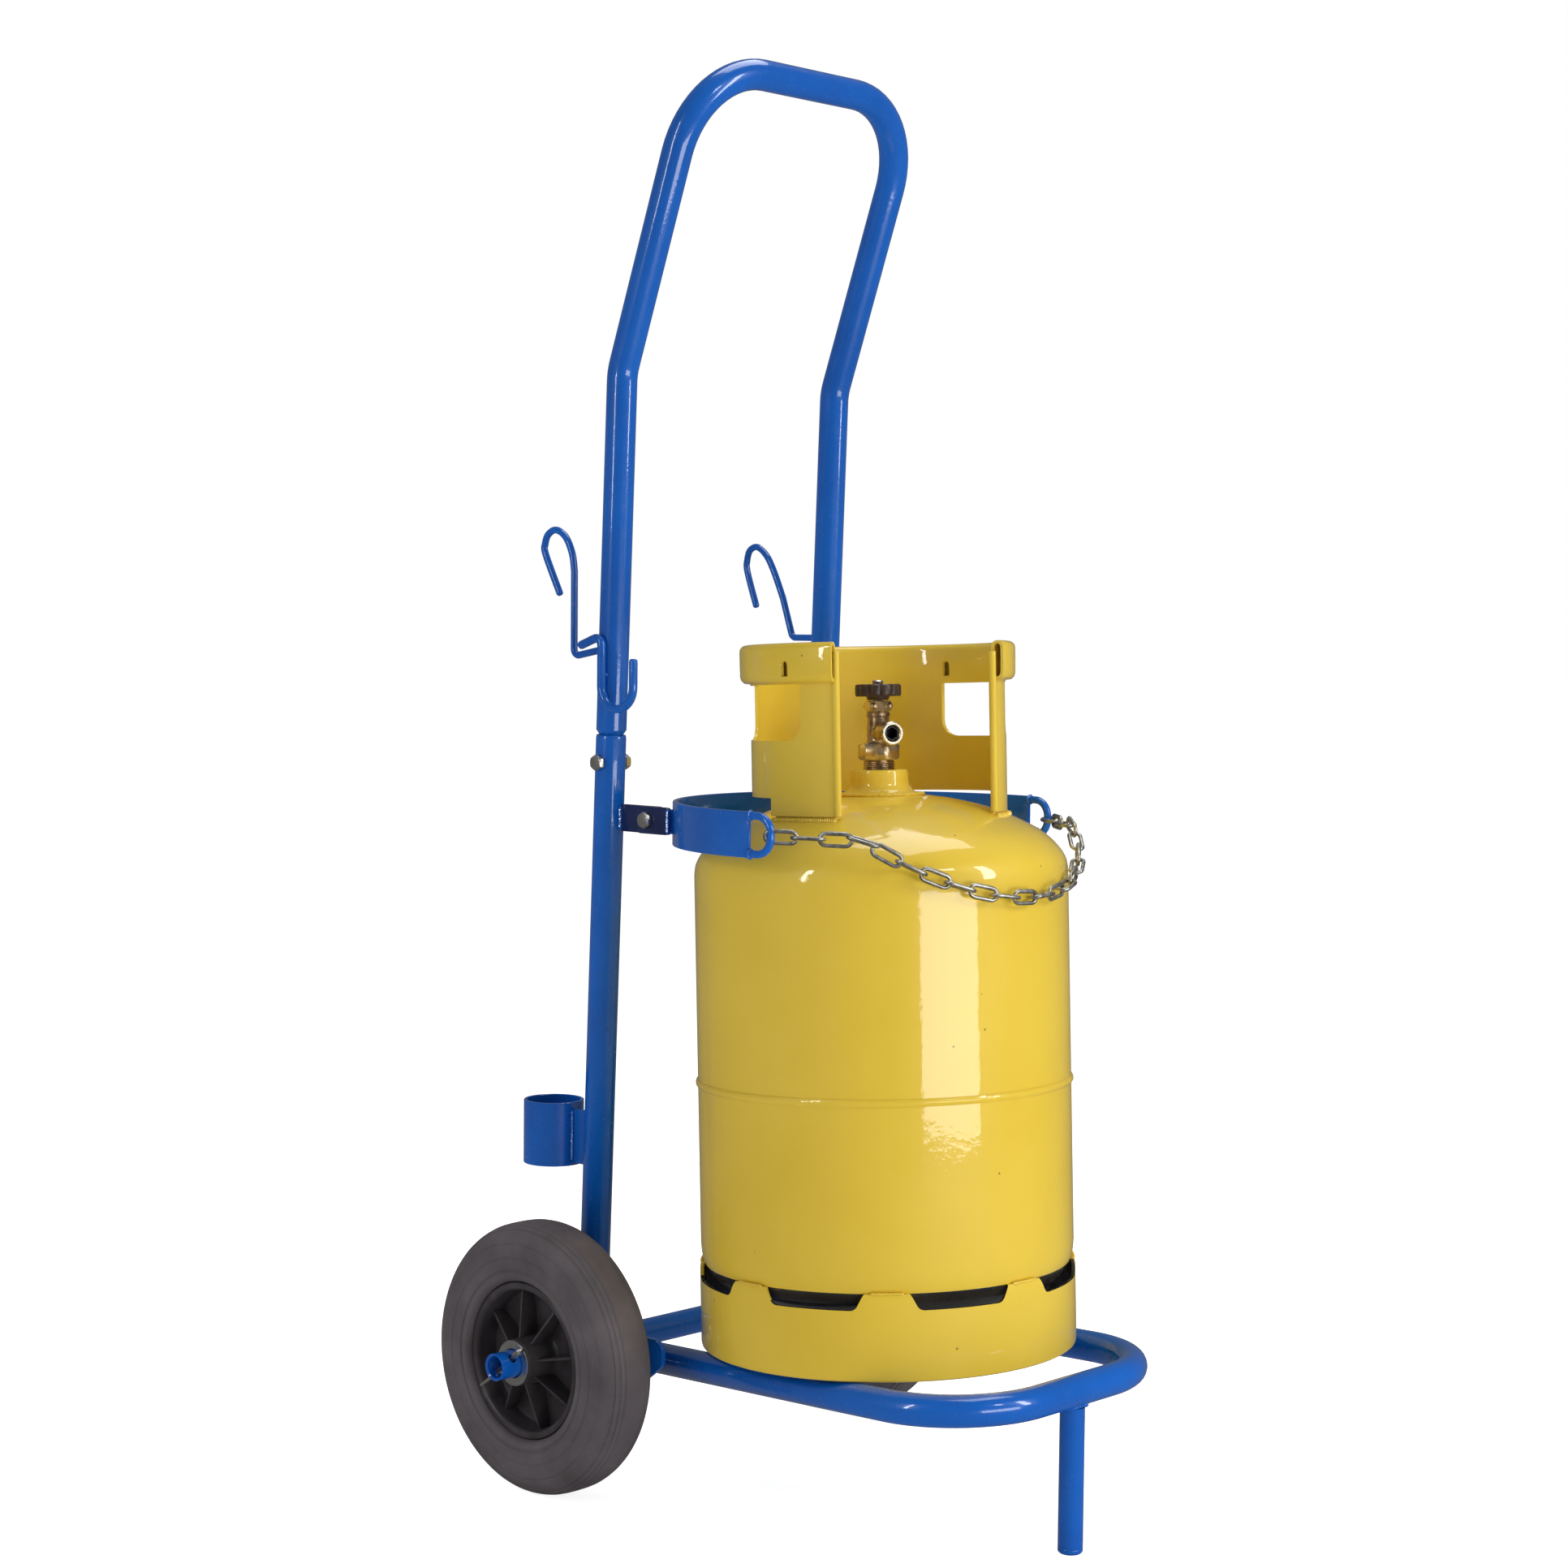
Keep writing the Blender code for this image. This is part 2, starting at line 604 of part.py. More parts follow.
def build_washer(name, side, near_x, thick, root):
    profile = [(WASHER_R, 0), (WASHER_R, thick), (AXLE_R + 0.0006, thick), (AXLE_R + 0.0006, 0)]
    washer = along_x(revolve(name, profile, 20), side)
    return add_object(name, washer, ZINC, root, (side * near_x, 0, AXLE_Z))


def build_split_pin(side, word, axle, root):
    """One wire bent double through the axle: two legs side by side and an eye."""
    x = side * SPLIT_PIN_X
    slope = Vector((0, 0.77, -0.64)).normalized()
    across = Vector((side, 0, 0))
    wire = 0.00165
    centre = Vector((x, 0, AXLE_Z))
    leg = wire + GAP / 2
    spots = [centre + slope * 0.036 + across * (leg + 0.004), centre + slope * 0.017 + across * leg,
             centre - slope * 0.016 + across * leg, centre - slope * 0.021 + across * 0.0046,
             centre - slope * 0.026 + across * 0.0032, centre - slope * 0.0275,
             centre - slope * 0.026 - across * 0.0032, centre - slope * 0.021 - across * 0.0046,
             centre - slope * 0.016 - across * leg, centre + slope * 0.017 - across * leg,
             centre + slope * 0.030 - across * (leg + 0.005)]
    rod(word + "_split_pin", spots, wire, ZINC, root, 6)
    hole = bore_cutter(word + "_pin_hole", centre, slope, 0.0041, 0.02, root)
    boolean(axle, hole)


def build_wheel_hardware(side, word, axle, root):
    plate_face = HALF_SPACING + TUBE_R + GAP + PLATE_THICK
    near = plate_face + GAP
    build_washer(word + "_inner_washer", side, near, HUB_INNER_X - GAP - near, root)
    build_washer(word + "_outer_washer", side, HUB_OUTER_X + GAP, WASHER_THICK, root)
    build_split_pin(side, word, axle, root)


# ---- Gas cylinder -------------------------------------------------------------------------------
def inset_profile(profile, amount):
    """Parallel copy of an open (radius, height) line, moved towards the cylinder's inside."""
    moved = []
    for index, (r, z) in enumerate(profile):
        before = profile[max(index - 1, 0)]
        after = profile[min(index + 1, len(profile) - 1)]
        run = Vector((after[0] - before[0], after[1] - before[1])).normalized()
        moved.append((r - run.y * amount, z + run.x * amount))
    return moved


def build_shell(stand):
    """Two deep-drawn halves that meet at the girth weld; the upper one has the neck hole."""
    dome = [(CYLINDER_R, GIRTH_Z + GAP), (CYLINDER_R, 0.428), (0.1685, 0.438), (0.163, 0.448), (0.152, 0.4595),
            (0.137, 0.4696), (0.106, 0.484), (0.070, 0.4935), (0.037, 0.4985), (0.019, 0.500)]
    inside = inset_profile(dome, SHELL)
    inside[0] = (inside[0][0], GIRTH_Z + GAP)
    mesh = revolve("upper_shell", dome + inside[::-1], CYLINDER_SEGMENTS)
    add_object("upper_shell", mesh, YELLOW, stand)

    bottom = [(0.0008, 0.030), (0.055, 0.033), (0.105, 0.040), (0.140, 0.051), (0.158, 0.063), (0.1654, 0.0735),
              (0.1688, 0.083), (CYLINDER_R, 0.094), (CYLINDER_R, GIRTH_Z)]
    inside = inset_profile(bottom, SHELL)
    inside[0] = (bottom[0][0], inside[0][1])
    inside[-1] = (inside[-1][0], GIRTH_Z)
    mesh = revolve("lower_shell", bottom + inside[::-1], CYLINDER_SEGMENTS)
    add_object("lower_shell", mesh, YELLOW, stand)

    bead = [(CYLINDER_R + GAP, GIRTH_Z - 0.004), (CYLINDER_R + 0.0017, GIRTH_Z), (CYLINDER_R + GAP, GIRTH_Z + 0.004)]
    add_object("girth_weld", revolve("girth_weld", bead, CYLINDER_SEGMENTS), YELLOW, stand)


def build_foot_ring(stand):
    wall = 0.003
    profile = [(FOOT_RING_R, 0.002), (FOOT_RING_R, FOOT_RING_TOP), (FOOT_RING_R - wall, FOOT_RING_TOP),
               (FOOT_RING_R - wall, 0.0), (FOOT_RING_R - 0.001, 0.0)]
    ring = add_object("foot_ring", revolve("foot_ring", profile, 48), YELLOW, stand)
    slots = bmesh.new()
    for number in range(FOOT_SLOTS):
        slot = bmesh.ops.create_cube(slots, size=1.0)["verts"]
        bmesh.ops.scale(slots, verts=slot, vec=(0.030, 0.092, 0.040))
        bmesh.ops.translate(slots, verts=slot, vec=(FOOT_RING_R, 0, FOOT_RING_TOP))
        turn = Matrix.Rotation(COLLAR_FACING + math.tau * number / FOOT_SLOTS, 3, "Z")
        bmesh.ops.rotate(slots, verts=slot, cent=(0, 0, 0), matrix=turn)
    mesh = bpy.data.meshes.new("foot_slots")
    slots.to_mesh(mesh)
    slots.free()
    boolean(ring, make_cutter("foot_slots", mesh, stand))


def build_collar(stand):
    """Valve guard: a wide C of sheet with a hemmed top edge, two hand holes and two feet."""
    r = COLLAR_R
    profile = [(r - 0.003, COLLAR_FOOT), (r, COLLAR_FOOT), (r, 0.600), (r + 0.0035, 0.600), (r + 0.0055, 0.606),
               (r + 0.0055, 0.624), (r + 0.002, 0.633), (r - 0.001, COLLAR_TOP), (r - 0.003, 0.632)]
    start = COLLAR_FACING + COLLAR_HALF_OPENING
    mesh = revolve("collar", profile, 28, start, math.tau - 2 * COLLAR_HALF_OPENING)
    collar = add_object("collar", mesh, YELLOW, stand)
    for word, side in (("left", -1), ("right", 1)):
        hole = box(word + "_hand_hole", (0.060, -0.0635, 0.550), (0.130, 0.0635, 0.5995))
        turn = COLLAR_FACING + side * math.radians(91.7)
        boolean(collar, make_cutter(word + "_hand_hole", hole, stand, rotation=(0, 0, turn)))
    relief = box("collar_relief", (-0.150, -0.150, 0.470), (0.023, 0.150, 0.499))
    boolean(collar, make_cutter("collar_relief", relief, stand, rotation=(0, 0, COLLAR_FACING)))


def build_neck_boss(stand):
    profile = [(0.038, 0.4995), (0.0275, 0.507), (0.0265, 0.520), (0.0250, 0.5215), (0.0150, 0.5215),
               (0.0150, 0.5010), (0.0200, 0.5010)]
    add_object("neck_boss", revolve("neck_boss", profile, 24), YELLOW, stand)


def build_valve(stand):
    """Brass valve: threaded shank, hex, body and side outlet; the spindle turns with the handwheel."""
    spindle_bore = 0.0046
    profile = [(0.0008, 0.4900), (0.0142, 0.4900), (0.0142, 0.5300), (0.0105, 0.5450), (0.0105, 0.5720),
               (0.0090, 0.5740), (spindle_bore, 0.5740), (spindle_bore, 0.5650), (0.0008, 0.5650)]
    body = add_object("valve_body", revolve("valve_body", profile, VALVE_SEGMENTS), BRASS, stand)
    hexagon = prism("valve_hex", polygon(0.0190, 6, COLLAR_FACING), 0.5300, 0.5452)
    boolean(body, make_cutter("valve_hex", hexagon, stand), "UNION")
    facing = (math.cos(COLLAR_FACING), math.sin(COLLAR_FACING), 0)
    spout = prism("valve_spout", polygon(0.0107, VALVE_SEGMENTS), 0.0, 0.0340)
    turn = Vector((0, 0, 1)).rotation_difference(Vector(facing)).to_matrix().to_4x4()
    spout.transform(turn)
    boolean(body, make_cutter("valve_spout", spout, stand, (0, 0, 0.5545)), "UNION")
    bore = prism("outlet_bore", polygon(0.0065, 16), 0.0160, 0.0360)
    bore.transform(turn)
    boolean(body, make_cutter("outlet_bore", bore, stand, (0, 0, 0.5545)))

    nut_bore = polygon(spindle_bore, 12)
    outline = polygon(0.0145, 6, COLLAR_FACING)
    nut = prism("packing_nut", outline, 0.5743, 0.5840)
    packing = add_object("packing_nut", nut, BRASS, stand)
    boolean(packing, make_cutter("packing_nut_bore", prism("packing_nut_bore", nut_bore, 0.57, 0.59), stand))

    profile = [(0.0006, 0.5656), (0.0042, 0.5656), (0.0042, 0.6025), (0.0006, 0.6025)]
    add_object("valve_spindle", revolve("valve_spindle", profile, 12), ZINC, stand)


def build_handwheel(stand):
    """Lobed knob on the spindle, with a bore for it and a hollow underside."""
    lobes = 8
    steps = lobes * 4
    outline = []
    for n in range(steps):
        angle = math.tau * n / steps
        r = 0.0210 + 0.0015 * math.cos(lobes * angle)
        outline.append((r * math.cos(angle), r * math.sin(angle)))
    wheel = add_object("handwheel", prism("handwheel", outline, 0.5870, 0.6000), KNOB, stand)
    bore = prism("handwheel_bore", polygon(0.0046, 12), 0.58, 0.61)
    boolean(wheel, make_cutter("handwheel_bore", bore, stand))


def build_cylinder(root):
    stand = add_empty("cylinder_axis", root, (0, CYLINDER_Y, cylinder_foot_z()), -math.atan(LOOP_SLOPE))
    build_shell(stand)
    build_foot_ring(stand)
    build_collar(stand)
    build_neck_boss(stand)
    build_valve(stand)
    build_handwheel(stand)


# ---- Assembly -----------------------------------------------------------------------------------
FRONT_REACH = LOOP_FRONT_Y - TUBE_R
ORIGIN_SHIFT_Y = -(FRONT_REACH + WHEEL_R) / 2

cart = add_empty("trolley_origin", None, (0, ORIGIN_SHIFT_Y, 0))
handle_tube = build_handle(cart)
base_loop = build_loop(cart)
axle_tube = build_axle(cart)
build_leg(cart)
build_ring(cart)
for sign, label in ((-1, "left"), (1, "right")):
    upright_tube = build_upright(sign, label + "_upright", cart)
    build_handle_joint(sign, label, handle_tube, upright_tube, cart)
    build_axle_plate(sign, label, base_loop, cart)
    build_ring_tabs(sign, label, cart)
    build_staple(sign, label, cart)
    build_wheel(sign, label, cart)
    build_wheel_hardware(sign, label, axle_tube, cart)
build_chain(cart)
build_chain_tail(cart)
build_hose_hook(-1, "left", [(hook_seat(0.776), 0.776), (0.0335, 0.769), (0.034, 0.850), (0.050, 0.895),
                             (0.080, 0.875), (0.056, 0.828)], cart)
build_hose_hook(1, "right", [(hook_seat(0.788), 0.788), (0.024, 0.788), (0.040, 0.830), (0.058, 0.886),
                             (0.090, 0.868), (0.070, 0.817)], cart)
build_torch_hook(cart)
build_rod_holder(cart)
build_cylinder(cart)
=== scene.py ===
import json
import math

import bmesh
import bpy
from mathutils import Matrix, Vector, noise


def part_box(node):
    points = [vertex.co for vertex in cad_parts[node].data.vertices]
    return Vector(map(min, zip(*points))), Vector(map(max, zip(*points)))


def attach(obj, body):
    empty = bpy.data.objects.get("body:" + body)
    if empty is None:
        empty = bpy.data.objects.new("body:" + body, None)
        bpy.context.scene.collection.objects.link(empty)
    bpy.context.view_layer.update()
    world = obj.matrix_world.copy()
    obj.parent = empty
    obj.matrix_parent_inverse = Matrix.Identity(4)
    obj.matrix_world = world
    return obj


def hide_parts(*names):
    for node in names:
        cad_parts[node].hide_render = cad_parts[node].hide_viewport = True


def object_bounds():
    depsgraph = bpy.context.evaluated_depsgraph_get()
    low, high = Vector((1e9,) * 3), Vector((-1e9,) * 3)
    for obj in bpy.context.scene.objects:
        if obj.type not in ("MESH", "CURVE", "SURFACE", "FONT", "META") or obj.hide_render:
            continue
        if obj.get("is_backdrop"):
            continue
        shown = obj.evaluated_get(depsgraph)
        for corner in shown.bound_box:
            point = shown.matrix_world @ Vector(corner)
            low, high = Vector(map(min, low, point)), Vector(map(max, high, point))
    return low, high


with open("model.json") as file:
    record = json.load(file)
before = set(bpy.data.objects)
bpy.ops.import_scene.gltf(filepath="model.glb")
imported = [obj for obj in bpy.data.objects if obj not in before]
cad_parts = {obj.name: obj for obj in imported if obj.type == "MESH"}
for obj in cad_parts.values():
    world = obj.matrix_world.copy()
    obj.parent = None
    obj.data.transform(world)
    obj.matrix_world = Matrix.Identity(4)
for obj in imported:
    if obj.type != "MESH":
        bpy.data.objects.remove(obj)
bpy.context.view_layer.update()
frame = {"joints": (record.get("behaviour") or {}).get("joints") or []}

# ---- Camera -------------------------------------------------------------------------------------
# Eye level with the cylinder's collar, a good two and a half metres away on the trolley's left
# front corner, through a lens of 65 mm on a 36 mm sensor.
EYE = Vector((-1.93513, -1.77302, 0.79629))
YAW, PITCH, ROLL = (math.radians(a) for a in (43.61, 3.11, 0.59))

sight = Vector((math.cos(YAW) * math.cos(PITCH), math.sin(YAW) * math.cos(PITCH), -math.sin(PITCH)))
level = Vector((math.sin(YAW), -math.cos(YAW), 0))
plumb = level.cross(sight)
across = level * math.cos(ROLL) + plumb * math.sin(ROLL)
upward = plumb * math.cos(ROLL) - level * math.sin(ROLL)
LENS_MM = 65.417
SENSOR_MM = 36.0
camera = bpy.data.objects.new("camera", bpy.data.cameras.new("camera"))
bpy.context.scene.collection.objects.link(camera)
camera.matrix_world = Matrix.Translation(EYE) @ Matrix((across, upward, -sight)).transposed().to_4x4()
camera.data.lens = LENS_MM
camera.data.sensor_width = SENSOR_MM
bpy.context.scene.camera = camera

# ---- Frame tubes --------------------------------------------------------------------------------
# The frame is 28 mm welded steel tube with a 1.8 mm wall, cold bent on a former and sawn square.
# The whole frame is welded first and then powder-coated gloss blue and baked.
# Two straight uprights stand on the axle, and the handle's swaged ends drop into them.
TUBE_R = 0.014
TUBE_WALL = 0.0018
axle_low, axle_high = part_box("axle_tube")
AXLE_Y = (axle_low.y + axle_high.y) / 2
AXLE_Z = (axle_low.z + axle_high.z) / 2
HALF_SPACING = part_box("right_upright")[1].x - TUBE_R
LEAN = math.tan(math.radians(2.0))
UPRIGHT_FOOT_Z = 0.1384
SPIGOT_FOOT_Z = 0.646
SEAM_Z = 0.702
BEND_Z = 1.029
HANDLE_TOP_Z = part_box("handle")[1].z - TUBE_R
SLANT = math.tan(math.radians(19.9))
SPIGOT_R = 0.0113
SWAGE_STEP = 1.10
HANDLE_BENDS = [0.055, 0.082, 0.082, 0.055]
UP = Vector((0, 0, 1))
SIDES = (("left", -1), ("right", 1))


def srgb(code):
    """Linear colour of a hex value such as '#155AA8'."""
    parts = [int(code[place:place + 2], 16) / 255 for place in (1, 3, 5)]
    return (*[p / 12.92 if p <= 0.04045 else ((p + 0.055) / 1.055) ** 2.4 for p in parts], 1.0)


def add(tree, kind, settings=None, links=None):
    """Adds one node: settings are its own values or its sockets' values, links feed its sockets."""
    made = tree.nodes.new(kind)
    for key, value in (settings or {}).items():
        if key == "stops":
            ramp = made.color_ramp.elements
            while len(ramp) < len(value):
                ramp.new(0.5)
            for stop, (place, colour) in zip(ramp, value):
                stop.position = place
                stop.color = colour
        elif isinstance(key, int) or key in made.inputs:
            made.inputs[key].default_value = value
        else:
            setattr(made, key, value)
    for key, source in (links or {}).items():
        tree.links.new(source, made.inputs[key])
    return made


def fresh_tree(owner):
    """The emptied node tree of a material or a world."""
    owner.use_nodes = True
    owner.node_tree.nodes.clear()
    return owner.node_tree


def new_finish(name):
    """An empty material, its node tree and the piece's own coordinates in metres."""
    finish = bpy.data.materials.new(name)
    tree = fresh_tree(finish)
    return finish, tree, add(tree, "ShaderNodeTexCoord").outputs["Object"]


def shaded(finish, tree, tone, rough, bump, **plain):
    """Gives a material its shader: three patterns feed it, and the rest are plain sockets."""
    links = {"Base Color": tone, "Roughness": rough.outputs["Result"], "Normal": bump.outputs["Normal"]}
    if "Coat_Weight" in plain:
        links["Coat Normal"] = bump.outputs["Normal"]
    settings = {socket.replace("_", " "): value for socket, value in plain.items()}
    shader = add(tree, "ShaderNodeBsdfPrincipled", settings, links)
    add(tree, "ShaderNodeOutputMaterial", links={"Surface": shader.outputs[0]})
    return finish


def powder_coat(name, deep, light):
    """Gloss polyester powder coat: even colour, a wet-looking skin and faint orange peel.
    Real peel is about 1.5 mm from crest to crest, and is drawn at 4 mm so that it shows."""
    finish, tree, place = new_finish(name)
    cloud = add(tree, "ShaderNodeTexNoise", {"Scale": 9.0, "Detail": 3.0}, {"Vector": place})
    tone = add(tree, "ShaderNodeValToRGB", {"stops": [(0.35, srgb(deep)), (0.65, srgb(light))]},
               {"Fac": cloud.outputs["Fac"]})
    peel = add(tree, "ShaderNodeTexNoise", {"Scale": 250.0, "Detail": 2.0}, {"Vector": place})
    dust = add(tree, "ShaderNodeTexNoise", {"Scale": 60.0, "Detail": 6.0}, {"Vector": place})
    rough = add(tree, "ShaderNodeMapRange",
                {"From Min": 0.3, "From Max": 0.75, "To Min": 0.20, "To Max": 0.32},
                {"Value": dust.outputs["Fac"]})
    bump = add(tree, "ShaderNodeBump", {"Strength": 0.10, "Distance": 0.0004},
               {"Height": peel.outputs["Fac"]})
    return shaded(finish, tree, tone.outputs["Color"], rough, bump,
                  Specular_IOR_Level=0.3, Coat_Weight=0.75, Coat_Roughness=0.04)


BLUE_COAT = powder_coat("blue_powder_coat", "#0859B6", "#0C65C8")


def begin():
    """Object mode with nothing selected."""
    if bpy.context.object and bpy.context.object.mode != "OBJECT":
        bpy.ops.object.mode_set(mode="OBJECT")
    bpy.ops.object.select_all(action="DESELECT")


def take(piece):
    """Makes one piece the selected and active one."""
    begin()
    piece.select_set(True)
    bpy.context.view_layer.objects.active = piece


def at(x, y, z):
    """A point measured from the axle along Y, in the row frame."""
    return Vector((x, AXLE_Y + y, z))


def rise(height):
    """A step straight up."""
    return Vector((0, 0, height))


def polar(radius, turn, height=0.0):
    """A point at a radius and angle round the upright axis."""
    return Vector((radius * math.cos(turn), radius * math.sin(turn), height))


def upright_y(height):
    """How far behind the axle the leaning uprights' centre line is at a height."""
    return 0.002 - LEAN * (height - AXLE_Z)


def start_ring(radius, centre, heading, sides=40):
    """A round edge loop at one end of a tube, open in edit mode and ready to be drawn out."""
    begin()
    turn = heading.to_track_quat("Z", "Y").to_euler()
    bpy.ops.mesh.primitive_circle_add(vertices=sides, radius=radius, location=centre, rotation=turn)
    bpy.ops.object.transform_apply(location=True, rotation=True, scale=False)
    bpy.ops.object.mode_set(mode="EDIT")
    bpy.ops.mesh.select_all(action="SELECT")


def draw(here, there, share=1.0):
    """Draws the selected ring from here to there and scales it there."""
    bpy.ops.mesh.extrude_region_move(TRANSFORM_OT_translate={"value": there - here})
    if share != 1.0:
        bpy.ops.transform.resize(value=(share, share, share), center_override=there)
    return there


def bend_through(here, corners, bends, steps=16):
    """Draws the selected ring along straight runs and spins it round a former at each corner."""
    for corner, following, bend in zip(corners, corners[1:], bends):
        back = (here - corner).normalized()
        ahead = (following - corner).normalized()
        half = back.angle(ahead) / 2
        reach = bend / math.tan(half)
        draw(here, corner + back * reach)
        former = corner + (back + ahead).normalized() * bend / math.sin(half)
        hinge = (-back).cross(ahead).normalized()
        bpy.ops.mesh.spin(steps=steps, angle=-(math.pi - 2 * half), center=former, axis=hinge)
        here = corner + ahead * reach
    return draw(here, corners[-1])


def close_piece(name, smooth=35):
    """Merges doubles, turns faces outwards, leaves edit mode, names and shades the piece."""
    piece = bpy.context.object
    if piece.mode != "EDIT":
        bpy.ops.object.mode_set(mode="EDIT")
    bpy.ops.mesh.select_all(action="SELECT")
    bpy.ops.mesh.remove_doubles(threshold=1e-6)
    bpy.ops.mesh.normals_make_consistent(inside=False)
    bpy.ops.object.mode_set(mode="OBJECT")
    piece.name = piece.data.name = name
    bpy.ops.object.shade_smooth_by_angle(angle=math.radians(smooth))
    return piece


def reshade(piece, smooth=35):
    """Shades a piece again after it was cut or joined."""
    take(piece)
    bpy.ops.object.shade_smooth_by_angle(angle=math.radians(smooth))


def thicken(piece, wall, offset=-1.0):
    """Gives a skin its wall."""
    take(piece)
    step = piece.modifiers.new("wall", "SOLIDIFY")
    step.thickness = wall
    step.offset = offset
    step.use_even_offset = True
    bpy.ops.object.modifier_apply(modifier=step.name)
    return piece


def dress(piece, finish, slot, body, *nodes):
    """Finish, material slot (not used), the body it rides on and the CAD nodes it stands for."""
    piece.data.materials.clear()
    piece.data.materials.append(finish)
    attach(piece, body)
    if nodes:
        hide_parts(*nodes)
    return piece


# The handle: swaged spigot, straight leg, forward bend, slanted leg, round corner, grip bar and back.
foot, neck, seam, bend_mark = (at(-HALF_SPACING, upright_y(z), z)
                               for z in (SPIGOT_FOOT_Z, SEAM_Z - 0.004, SEAM_Z, BEND_Z))
top_y = upright_y(BEND_Z) - SLANT * (HANDLE_TOP_Z - BEND_Z)
shoulder = at(-HALF_SPACING, top_y, HANDLE_TOP_Z)
mirror = Vector((-1, 1, 1))
swage = neck.lerp(seam, 0.45)
start_ring(SPIGOT_R, foot, neck - foot)
here = draw(foot, neck)
here = draw(here, swage, SWAGE_STEP)
here = draw(here, seam, TUBE_R / SPIGOT_R / SWAGE_STEP)
here = bend_through(here, [bend_mark, shoulder, shoulder * mirror, bend_mark * mirror, seam * mirror],
                    HANDLE_BENDS)
here = draw(here, swage * mirror, SPIGOT_R * SWAGE_STEP / TUBE_R)
here = draw(here, neck * mirror, 1 / SWAGE_STEP)
draw(here, foot * mirror)
handle = thicken(close_piece("bent_handle"), TUBE_WALL)
dress(handle, BLUE_COAT, "blue_enamel", "frame", "handle")

# The uprights: sawn at the foot, the top edge rolled in a little round the handle's spigot.
for word, side in SIDES:
    high = SEAM_Z - 0.0045
    foot, lip, rim = (at(side * HALF_SPACING, upright_y(z), z) for z in (UPRIGHT_FOOT_Z, high - 0.0032, high))
    start_ring(TUBE_R, foot, rim - foot)
    here = draw(foot, lip)
    here = draw(here, lip.lerp(rim, 0.6), 0.982)
    draw(here, rim, 0.972)
    upright = thicken(close_piece(word + "_upright_tube"), TUBE_WALL)
    dress(upright, BLUE_COAT, "blue_enamel", "frame", word + "_upright")

# The base loop: one U of the same tube, level with the axle behind and a little higher in front.
LOOP_SLOPE = 0.0385
LOOP_BEND = 0.092


def loop_z(y):
    """Height of the base loop's centre line."""
    return AXLE_Z - LOOP_SLOPE * y


rear, front = (at(-HALF_SPACING, y, loop_z(y)) for y in (-0.0175, -0.457))
start_ring(TUBE_R, rear, front - rear)
bend_through(rear, [front, front * mirror, rear * mirror], [LOOP_BEND, LOOP_BEND], 20)
loop = thicken(close_piece("base_loop_tube"), TUBE_WALL)
dress(loop, BLUE_COAT, "blue_enamel", "frame", "base_loop")

# The axle: 25 mm tube right through both hubs, its sawn ends deburred, drilled for a split pin.
AXLE_R = 0.0125
AXLE_WALL = 0.0025
DEBURR = 0.0006
PIN_X = 0.252
PIN_HOLE_R = 0.0041
pin_slope = Vector((0, 0.77, -0.64)).normalized()


def cut(piece, tool, operation="DIFFERENCE"):
    """Applies one shape to another and throws the tool away."""
    take(piece)
    step = piece.modifiers.new("cut", "BOOLEAN")
    step.operation = operation
    step.solver = "EXACT"
    step.object = tool
    bpy.ops.object.modifier_apply(modifier=step.name)
    bpy.data.objects.remove(tool, do_unlink=True)


end = Vector((axle_low.x, AXLE_Y, AXLE_Z))
full = end + Vector((0.0007, 0, 0))
start_ring(AXLE_R - DEBURR, end, Vector((1, 0, 0)), 48)
here = draw(end, full, AXLE_R / (AXLE_R - DEBURR))
here = draw(here, full * mirror)
draw(here, end * mirror, (AXLE_R - DEBURR) / AXLE_R)
axle = thicken(close_piece("through_axle"), AXLE_WALL)
for side in (-1, 1):
    begin()
    bpy.ops.mesh.primitive_cylinder_add(vertices=24, radius=PIN_HOLE_R, depth=0.04,
                                        location=(side * PIN_X, AXLE_Y, AXLE_Z),
                                        rotation=pin_slope.to_track_quat("Z", "Y").to_euler())
    cut(axle, bpy.context.object)
reshade(axle)
dress(axle, BLUE_COAT, "blue_enamel", "frame", "axle_tube")

# The front leg: 22 mm tube with a welded-in end plug that stands on the floor.
LEG_R = 0.011


def pick_edges(test):
    """Selects the edges of the piece being edited that pass the test."""
    bpy.ops.mesh.select_mode(type="EDGE")
    bpy.ops.mesh.select_all(action="DESELECT")
    shape = bmesh.from_edit_mesh(bpy.context.object.data)
    for edge in shape.edges:
        edge.select_set(bool(test(edge)))
    shape.select_flush_mode()
    bmesh.update_edit_mesh(bpy.context.object.data)


leg_low, leg_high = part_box("front_leg")
leg_foot = Vector((0, (leg_low.y + leg_high.y) / 2, 0))
# Each ring's height and its size against the ring below: rounded plug, weld groove, straight tube.
LEG_RINGS = [(0.0012, (LEG_R - 0.0004) / (LEG_R - 0.0018)), (0.0022, LEG_R / (LEG_R - 0.0004)), (0.0040, 1.0),
             (0.0044, 0.985), (0.0050, 1 / 0.985), (leg_high.z, 1.0)]
start_ring(LEG_R - 0.0018, leg_foot, UP)
bpy.ops.mesh.edge_face_add()
bpy.ops.mesh.inset(thickness=0.0022)
bpy.ops.transform.translate(value=(0, 0, 0.0008))
pick_edges(lambda edge: edge.is_boundary)
here = leg_foot
for height, share in LEG_RINGS:
    here = draw(here, leg_foot + rise(height), share)
bpy.ops.mesh.edge_face_add()
bpy.ops.mesh.inset(thickness=0.002)
draw(here, leg_foot + rise(0.1))
leg = close_piece("front_leg_tube")
dress(leg, BLUE_COAT, "blue_enamel", "frame", "front_leg")

